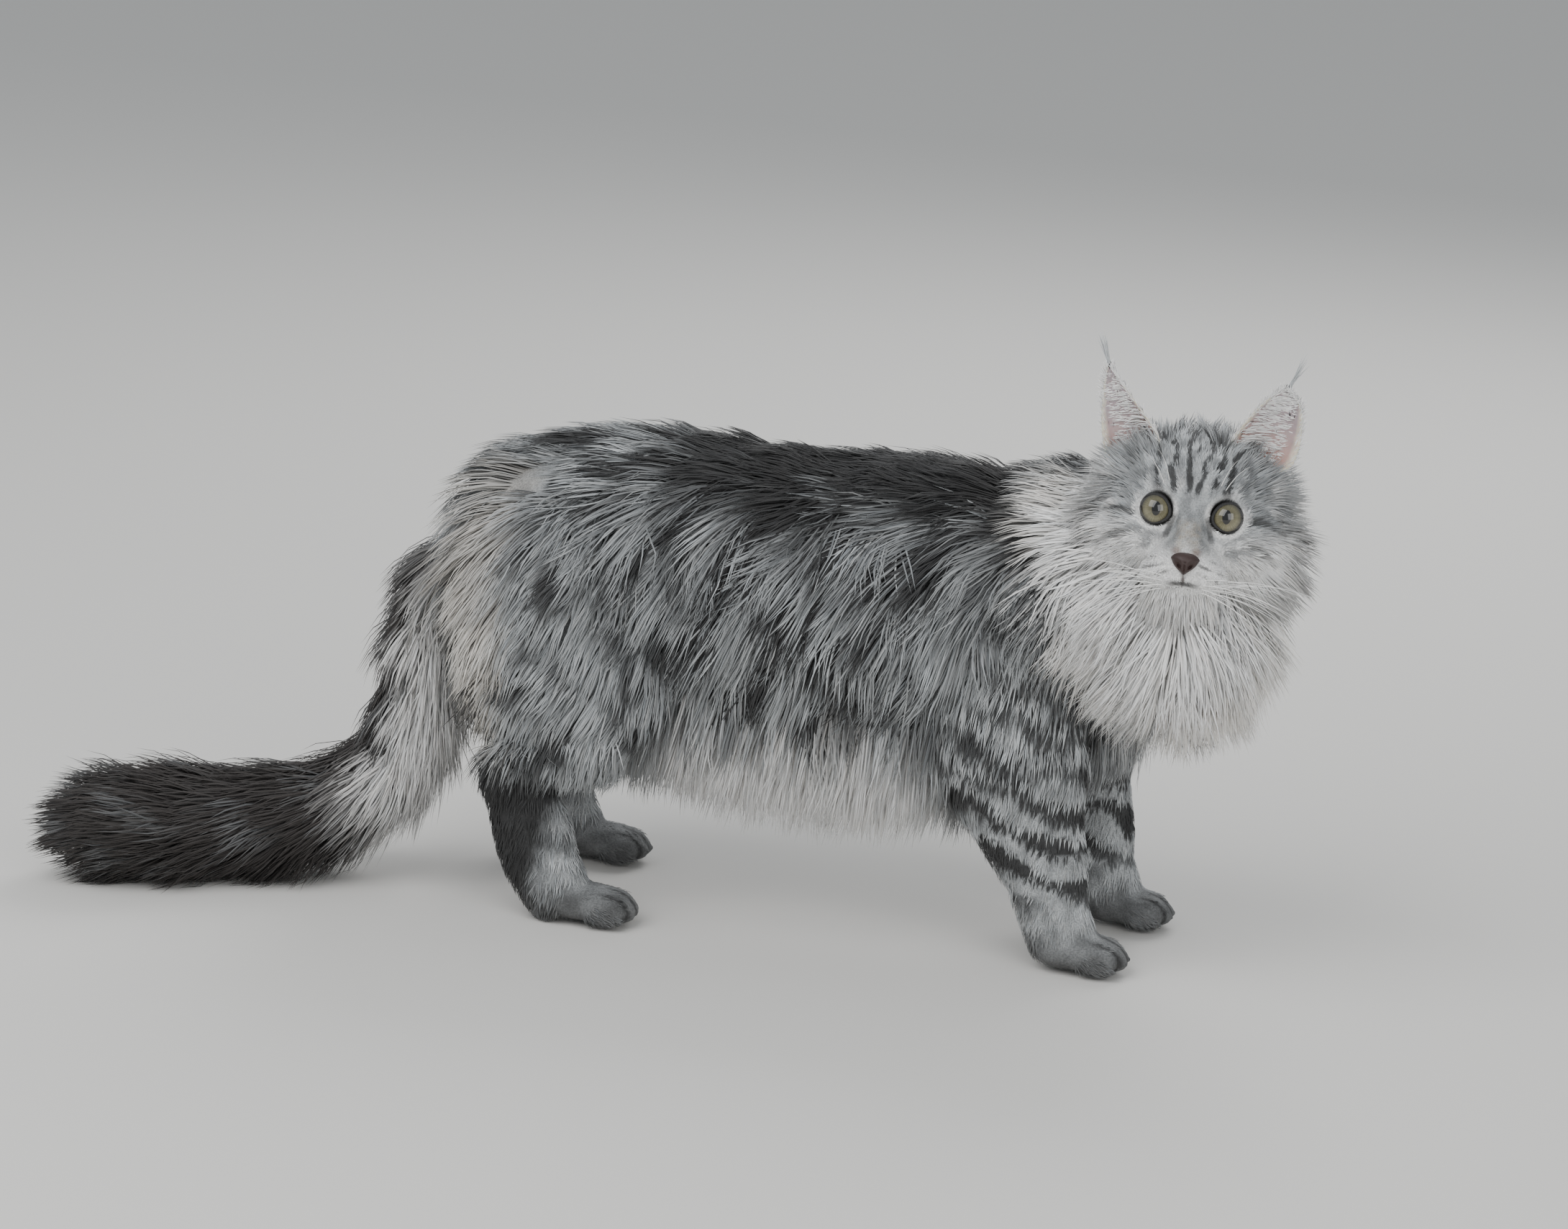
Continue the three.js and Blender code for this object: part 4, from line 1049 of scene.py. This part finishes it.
def cell(index, u, turn):
    """A form's own square of the unwrap: along it one way and round it the other."""
    base = np.array([index % SHEET_CELLS, index // SHEET_CELLS]) / SHEET_CELLS + 0.006
    return base + np.stack([u, (turn / (2 * np.pi)) % 1], -1) * (1 / SHEET_CELLS - 0.012)


def stir(points, size, seed):
    """A slow wander of direction: three ripples as a vector."""
    return np.stack([ripple(points, size, seed + k) for k in range(3)], -1)


def flat_on(v, normal):
    """A direction laid flat on the skin: its part along the normal taken away."""
    return unit(v - normal * (v * normal).sum(-1, keepdims=True))


def roots_on(form, count, seed, span, inset, wanted):
    """Places, roots and normals spread over a form from one place along it to another, where wanted says
    so."""
    u, turn = scatter(form, count, seed, *span)
    root, normal = form.point(u, turn, inset), form.normal(u, turn)
    keep = wanted(root)
    return u[keep], turn[keep], root[keep], normal[keep]


# trunk: back along the spine, back and down on the sides, hanging at the belly, ruffled up at the rump
def on_trunk(root):
    """Clear of the neck, the thighs and the forelegs."""
    return outside(root, [neck, *thighs.values()], 0.9) & outside(root, forelegs.values(), 0.8)


u, turn, root, normal = roots_on(trunk, 34000, 21, (0.005, 0.97), SKIN_INSET, on_trunk)
rng = np.random.default_rng(22)
low, high = step_up(-normal[:, 2], -0.1, 0.75), step_up(normal[:, 2], 0.45, 0.95)
rump = step_up(-root[:, 0], 185, 250)
lie = [-0.38 - 0.8 * high - 0.4 * rump, 0 * u, -1.0 * (1 - high) - 0.4 * low + 0.45 * rump * high]
lie = np.stack(lie, -1) + 0.42 * stir(root, 38, 30)
lie = flat_on(lie + 0.12 * rng.normal(size=lie.shape), normal)
off = 0.16 + 0.10 * ripple(root, 30, 33) + 0.10 * rng.random(len(u)) + 0.10 * rump
hanging = unit(normal * 0.4 + (-0.12, 0, -1) + 0.12 * rng.normal(size=lie.shape))
lie = np.where(low[:, None] > 0.55, hanging, lie + normal * off[:, None])
length = (56 - 14 * high + 2 * low) * rng.uniform(0.7, 1.12, len(u))
length = length * (1 - 0.3 * step_up(root[:, 0], 70, 130) * (1 - low))
grow("coat_trunk", root, normal, lie, length, 1.2, cell(0, u, turn), clump=0.5, seed=23)


# ruff and chest: out and down from the neck, longest under the throat
def in_ruff(root):
    """Outside the head, and not sunk in the front of the barrel."""
    outer = head_field(to_face(root)) > -1
    return outer & ~((root[:, 0] < 120) & (trunk.nearness(root)[0] < 0.85))


for index, (name, form, count, first) in enumerate((("neck", neck, 13000, 0.03), ("bib", bib, 11000, 0.08))):
    other = bib if form is neck else neck
    u, turn, root, normal = roots_on(
        form, count, 31 + index, (first, 0.97), SKIN_INSET,
        lambda root: in_ruff(root) & outside(root, [other], 0.9),
    )
    rng = np.random.default_rng(41 + index)
    above = step_up(normal[:, 2], 0.15, 0.8)
    nape = above * step_up(196 - root[:, 0], 0, 60)
    parting = 0.25 * FACE_LEFT * np.sign((root - EYE_MIDDLE) @ FACE_LEFT)[:, None]
    lie = normal * (0.50 - 0.25 * above)[:, None] + parting
    lie = lie + np.stack([-0.15 - 1.1 * nape, -0.12 + 0.25 * nape, -0.8 * (1 - above)], -1)
    lie = unit(lie + 0.38 * stir(root, 30, 50) + 0.16 * rng.normal(size=lie.shape))
    length = (50 - 18 * above) * rng.uniform(0.7, 1.1, len(u))
    sheet = cell(1 + index, u, turn)
    grow(
        f"coat_{name}", root, normal, lie, length, 1.2, sheet,
        droop=0.10, clump=0.4, slot="white_coat", seed=43,
    )

# tail: a plume, back along it and off it all round, longest below
u, turn, root, normal = roots_on(
    tail, 11000, 51, (0.08, 0.99), SKIN_INSET, lambda root: outside(root, [trunk, *thighs.values()], 0.95)
)
rng = np.random.default_rng(52)
way = tail.axes(u)[1]
below = step_up(-normal[:, 2], -0.2, 0.8)
lie = way + normal * (0.34 + 0.12 * below)[:, None]
lie = lie + 0.15 * stir(root, 40, 53) + 0.13 * rng.normal(size=way.shape)
length = (44 - 8 * step_up(u, 0.75, 1)) * rng.uniform(0.7, 1.15, len(u))
grow("coat_tail", root, normal, lie, length, 1.25, cell(3, u, turn), clump=0.5, slot="dark_coat", seed=54)

# haunches: back and down the thigh, with the long pale breeches behind
for index, (name, form) in enumerate(thighs.items()):
    u, turn, root, normal = roots_on(
        form, 6500, 61 + index, (0.02, 0.98), SKIN_INSET,
        lambda root: outside(root, [trunk, tail], 0.9) & outside(root, [shanks[name]], 0.6),
    )
    rng = np.random.default_rng(63 + index)
    behind = step_up(-normal[:, 0], 0.1, 0.7)
    lie = np.array([-0.5, 0, -0.9]) + 0.25 * stir(root, 40, 64)
    lie = flat_on(lie + 0.12 * rng.normal(size=root.shape), normal) + normal * (0.14 + 0.22 * behind)[:, None]
    length = (34 + 12 * behind) * rng.uniform(0.7, 1.12, len(u))
    grow(f"coat_thigh_{name}", root, normal, lie, length, 1.2, cell(4 + index, u, turn), clump=0.5, seed=65)

# lower hind legs: short hair lying down the leg, feathered at the heel and knee
for index, (name, form) in enumerate([*shanks.items(), *hocks.items()]):
    u, turn, root, normal = roots_on(
        form, 2300, 71 + index, (0.02, 0.98), LEG_INSET,
        lambda root: outside(root, [thighs[name]], 0.7) & (root[:, 2] > 3),
    )
    rng = np.random.default_rng(75 + index)
    lie = flat_on(np.array([-0.2, 0, -1]) + 0.15 * rng.normal(size=root.shape), normal) + normal * 0.13
    length = (9 + 14 * step_up(root[:, 2], 70, 112)) * rng.uniform(0.7, 1.2, len(u))
    sheet = cell(6 + index, u, turn)
    grow(f"coat_hind_{index}", root, normal, lie, length, 1.0, sheet, rings=SHORT, clump=0.35, seed=77)


# forelegs: from 22 mm at the shoulder to 7 mm at the foot, wispy down the back edge
def on_foreleg(root):
    """Clear of the neck and of the barrel's inside, and off the floor."""
    return outside(root, [neck], 0.95) & (trunk.nearness(root)[0] > 0.72) & (root[:, 2] > 3)


for index, (name, form) in enumerate(forelegs.items()):
    u, turn, root, normal = roots_on(form, 8000, 81 + index, (0.02, 0.99), LEG_INSET, on_foreleg)
    rng = np.random.default_rng(83 + index)
    behind = step_up(-normal[:, 0], 0.4, 0.9)
    lie = np.array([-0.15, 0, -1]) + 0.15 * stir(root, 30, 84)
    lie = flat_on(lie + 0.12 * rng.normal(size=root.shape), normal) + normal * (0.08 + 0.14 * behind)[:, None]
    length = 7 + 17 * step_up(root[:, 2], 70, 190) + 9 * behind * step_up(root[:, 2], 30, 70)
    length = length * rng.uniform(0.7, 1.15, len(u))
    sheet = cell(10 + index, u, turn)
    grow(f"coat_foreleg_{name}", root, normal, lie, length, 0.9, sheet, rings=SHORT, clump=0.2, seed=85)

# feet: the shortest hair, lying forward over the toes
for index, (sole, foot) in enumerate(zip(pads, FEET)):
    lumps = [sole, *toes(*foot)]
    for k, lump in enumerate(lumps):
        others = [other for other in lumps if other is not lump]
        u, turn, root, normal = roots_on(
            lump, 420, 91 + 7 * index + k, (0.03, 0.97), LEG_INSET,
            lambda root: (root[:, 2] > 2) & outside(root, others, 0.95),
        )
        rng = np.random.default_rng(95 + index)
        lie = flat_on(np.array([1.0, 0, -0.45]) + 0.15 * rng.normal(size=root.shape), normal) + normal * 0.08
        length = 4.5 * rng.uniform(0.7, 1.2, len(u))
        sheet = cell(12 + index, u, turn)
        name = f"coat_foot_{index}_{k}"
        grow(name, root, normal, lie, length, 0.75, sheet, rings=SHORT, slot="dark_coat", seed=97)

# ---------------------------------------------------------------- face coat
# Fine short hair that lies away from the nose: up the bridge and brow, back over the cheeks, down the
# muzzle. It lengthens to the sides until it runs into the ruff. None grows on the eyes, lids, nose leather
# or lips.
u = np.random.default_rng(111).random(52000)
turn = np.random.default_rng(112).uniform(0, 2 * np.pi, len(u))
opened = np.arccos(1 - 1.9 * u)
way = polar(opened, turn)
face = head_surface(way, -LEG_INSET)
reach = np.linalg.norm(face - HEAD_CENTRE, axis=-1)
# off the face: the way in which the head's field grows fastest
steps = 0.4 * np.eye(3)
normal = unit(np.stack([head_field(face + step) - head_field(face - step) for step in steps], -1))
x, y, z = face.T
# rays from the middle spread out with distance and slant, so more are kept where each stands for more of
# the face
spread = reach**2 / np.clip((normal * way).sum(-1), 0.25, 1)
rng = np.random.default_rng(113)
keep = rng.random(len(u)) < spread / np.percentile(spread, 97) * np.where(x > -22, 1.0, 0.6)
keep &= np.hypot(np.abs(y) - EYE_SPACING / 2, z) > np.where(x > -12, 11.3, 0)
keep &= ~((np.abs(y) < 8.6) & (z > -36.5) & (z < -23.5) & (x > 17))
keep &= ~((x > 4) & (np.abs(z + LIP_HEIGHT + LIP_FALL * np.abs(y)) < 0.8) & (np.abs(y) < 10))
keep &= neck.nearness(from_face(face))[0] > 0.6
face, normal, opened, turn = face[keep], normal[keep], opened[keep], turn[keep]
x, y, z = face.T

nose_tip = np.array([30.0, 0.0, -26.0])
low = step_up(-z, 28, 40) * step_up(x, -5, 5)
cheek = step_up(np.abs(y), 26, 42) * step_up(-z, -12, 12)
mane = step_up(-x, 8, 30) * step_up(np.hypot(y, z + 10), 24, 38) * step_up(-z, -46, -16)
crown = step_up(z, 24, 40) * step_up(-x, 6, 24)
beard = step_up(-z, 43, 47) * step_up(22 - x, 0, 10)
round_out = unit(np.stack([0 * x, y, z + 10], -1))
lie = unit(face - nose_tip) + np.array([-0.5, 0, 0]) + 0.1 * rng.normal(size=face.shape)
lie = lie + low[:, None] * np.array([-0.4, 0, -0.5]) + cheek[:, None] * np.array([-0.2, 0, -0.45])
off = 0.10 + 0.10 * cheek + 0.25 * mane + 0.3 * crown + 0.3 * beard
lie = flat_on(lie, normal) + normal * off[:, None]
fanned = round_out + (0.1, 0, -0.35) + 0.25 * stir(face, 16, 115)
lie = lie * (1 - mane)[:, None] + mane[:, None] * fanned
lie = lie + (crown[:, None] * 0.5 + 0.1) * stir(face, 14, 116)
lie = lie + beard[:, None] * (0.7 * round_out + (0.25, 0, -0.6))

length = 3.2 + 3.0 * step_up(-x, -8, 12) + 3.0 * step_up(z, 18, 40) + 8 * cheek + 5 * step_up(-x, 20, 50)
length = length + 18 * mane + 6 * crown + 24 * beard * rng.uniform(0.3, 1, len(x))
length = length * (0.55 + 0.45 * step_up(np.hypot(np.abs(y) - EYE_SPACING / 2, z), 11, 17))
lip = z + LIP_HEIGHT + LIP_FALL * np.abs(y)
length = length * np.where((np.abs(y) < 20) & (lip > 0) & (lip < 4) & (x > 4), 0.45, 1)
length = length * rng.uniform(0.75, 1.2, len(x)) * np.where((np.abs(y) < 8) & (z < 0) & (z > -26), 0.7, 1)
width = 0.48 + 0.022 * length
sheet = cell(17, opened / np.pi, turn)
grow(
    "coat_face", from_face(face), normal @ FACE, lie @ FACE, length, width, sheet,
    rings=SHORT, droop=0.03, clump=0.25, seed=114,
)

# ---------------------------------------------------------------- ear hair
# Short hair on the back of each ear, a pale fringe round its edge, long white hair that crosses the cup
# from the inner edge, and a thin wisp at the tip.


def on_leaf(ear, across, up):
    """At places on the leaf: the ear's middle surface, its way up, its way across, and off its front."""
    above, below = np.minimum(up + 0.02, 0.99), np.maximum(up - 0.02, 0)
    rising = unit(ear_point(ear, across, above, 0.0) - ear_point(ear, across, below, 0.0))
    crossing = unit(ear_point(ear, across + 0.02, up, 0.0) - ear_point(ear, across - 0.02, up, 0.0))
    front = unit(ear_point(ear, across, up, -1.0) - ear_point(ear, across, up, 1.0))
    return ear_point(ear, across, up, 0.0), rising, crossing, front


def grow_on_ear(name, here, normal, lie, length, width, sheet, **more):
    """Wisps whose roots, normals and lie are given in the head's frame."""
    grow(name, from_face(here), normal @ FACE, lie @ FACE, length, width, sheet, slot="ear", **more)


for index, (name, ear) in enumerate(EARS.items()):
    rng = np.random.default_rng(121 + index)
    back_cell, front_cell = 19 + 2 * index, 20 + 2 * index

    n = 2400
    across, up = rng.uniform(-0.96, 0.96, n), rng.uniform(0, 1, n) ** 0.9 * 0.88
    here, rising, _, front = on_leaf(ear, across, up)
    colour = mixed(np.tile(SILVER, (n, 1)), GREY, 0.6 * step_up(up, 0.1, 0.9))
    lie = rising + 0.15 * rng.normal(size=here.shape) - front * 0.12
    length = 6 * rng.uniform(0.7, 1.2, n)
    sheet = cell(back_cell, up, np.pi * (1 + across))
    coat = {"rings": SHORT, "colour": colour, "seed": 122}
    grow_on_ear(f"coat_ear_{name}", here - front * 0.9, -front, lie, length, 0.8, sheet, **coat)

    n = 700
    edge = np.where(rng.random(n) < 0.5, -1.0, 1.0) * rng.uniform(0.86, 1.0, n)
    up = rng.uniform(0, 0.97, n)
    here, rising, crossing, front = on_leaf(ear, edge, up)
    lie = rising * 0.8 + crossing * np.sign(edge)[:, None] * 0.55 + 0.2 * rng.normal(size=here.shape)
    length = 5.5 * rng.uniform(0.6, 1.3, n)
    sheet = cell(front_cell, up, np.pi * (1 + edge))
    coat = {"rings": SHORT, "colour": WHITE * 0.9, "seed": 123}
    grow_on_ear(f"fringe_ear_{name}", here, front, lie, length, 0.7, sheet, **coat)

    n = 1200
    inner = -ear["side"] * rng.uniform(-0.5, 0.96, n)
    up = rng.uniform(0.0, 0.93, n)
    here, rising, crossing, front = on_leaf(ear, inner, up)
    lie = crossing * ear["side"] + rising * (0.3 + 0.2 * rng.random((n, 1))) + front * 0.30
    lie = lie + 0.13 * rng.normal(size=here.shape)
    length = rng.uniform(12, 21, n) * (1 - 0.55 * up) * (0.65 - 0.35 * inner * ear["side"])
    sheet = cell(front_cell, up, np.pi * (1 + inner))
    coat = {"clump": 0.4, "colour": WHITE, "seed": 124}
    grow_on_ear(f"long_ear_hair_{name}", here, front, lie, length, 0.6, sheet, **coat)

    n = 26
    across, up = rng.uniform(-0.3, 0.3, n), rng.uniform(0.93, 0.99, n)
    here = on_leaf(ear, across, up)[0]
    lie = np.array([-0.05, ear["side"] * 0.42, 1.0]) + 0.05 * rng.normal(size=here.shape)
    length = rng.uniform(8, 28, n)
    sheet = cell(front_cell, up, np.pi * (1 + across))
    coat = {"colour": SILVER, "seed": 125}
    grow_on_ear(f"tip_tuft_{name}", here, np.tile([1.0, 0, 0], (n, 1)), lie, length, 0.6, sheet, **coat)

# ---------------------------------------------------------------- whiskers
# Stiff white whiskers in four rows on each pad and two over each eye: long tapered rods that sag a little,
# each a ring carried along a curve.

# a whisker is thick, solid keratin: smooth and slightly glossy
whisker_hair, _, surface = new_material("stiff_white_whisker")
surface.inputs["Base Color"].default_value = (*linear("#f4f3f0"), 1)
surface.inputs["Roughness"].default_value = 0.35
WHISKER_HALF, WHISKER_SAG = 0.28, 0.32
WHISKER_RINGS, WHISKER_SIDES = 12, 5
rng = np.random.default_rng(131)
rods = []
for side in (1, -1):
    for row in range(4):
        for k in range(4):
            aim = unit(np.array([13 - 5.0 * k, side * (9.5 + 3.2 * k), -31 - 3.0 * row]) - HEAD_CENTRE)
            way = unit(np.array([0.30 - 0.22 * k, side * 1.0, 0.22 - 0.16 * row + 0.05 * rng.normal()]))
            long = (74 - 7 * abs(row - 1.4)) * rng.uniform(0.75, 1.1) * (0.75 + 0.1 * k)
            rods.append((head_surface(aim, -1.5), way, long))
    for k in range(2):
        aim = unit(np.array([0, side * (15 + 4 * k), 17 - 0.8 * k]) - HEAD_CENTRE)
        way = unit(np.array([0.55, side * (0.25 + 0.15 * k), 0.8]))
        rods.append((head_surface(aim, -1.5), way, rng.uniform(26, 40)))
t, a = round_grid(0, 1, WHISKER_RINGS, WHISKER_SIDES)
t, a = t[..., None], a[..., None]
corners, faces = [], []
for k, (start, way, long) in enumerate(rods):
    one = unit(np.cross(way, [0, 0, 1]))
    other = np.cross(way, one)
    rod = start + t * long * way + (np.cos(a) * one + np.sin(a) * other) * WHISKER_HALF * (1 - 0.9 * t)
    rod[..., 2] -= WHISKER_SAG * long * t[..., 0] ** 2
    corners.append(rod.reshape(-1, 3))
    faces.append(quads(WHISKER_RINGS, WHISKER_SIDES) + k * WHISKER_RINGS * WHISKER_SIDES)
whiskers = new_mesh("whiskers", from_face(np.vstack(corners)), np.vstack(faces), whisker_hair)
whiskers = facing_out(whiskers)
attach(whiskers, "root")
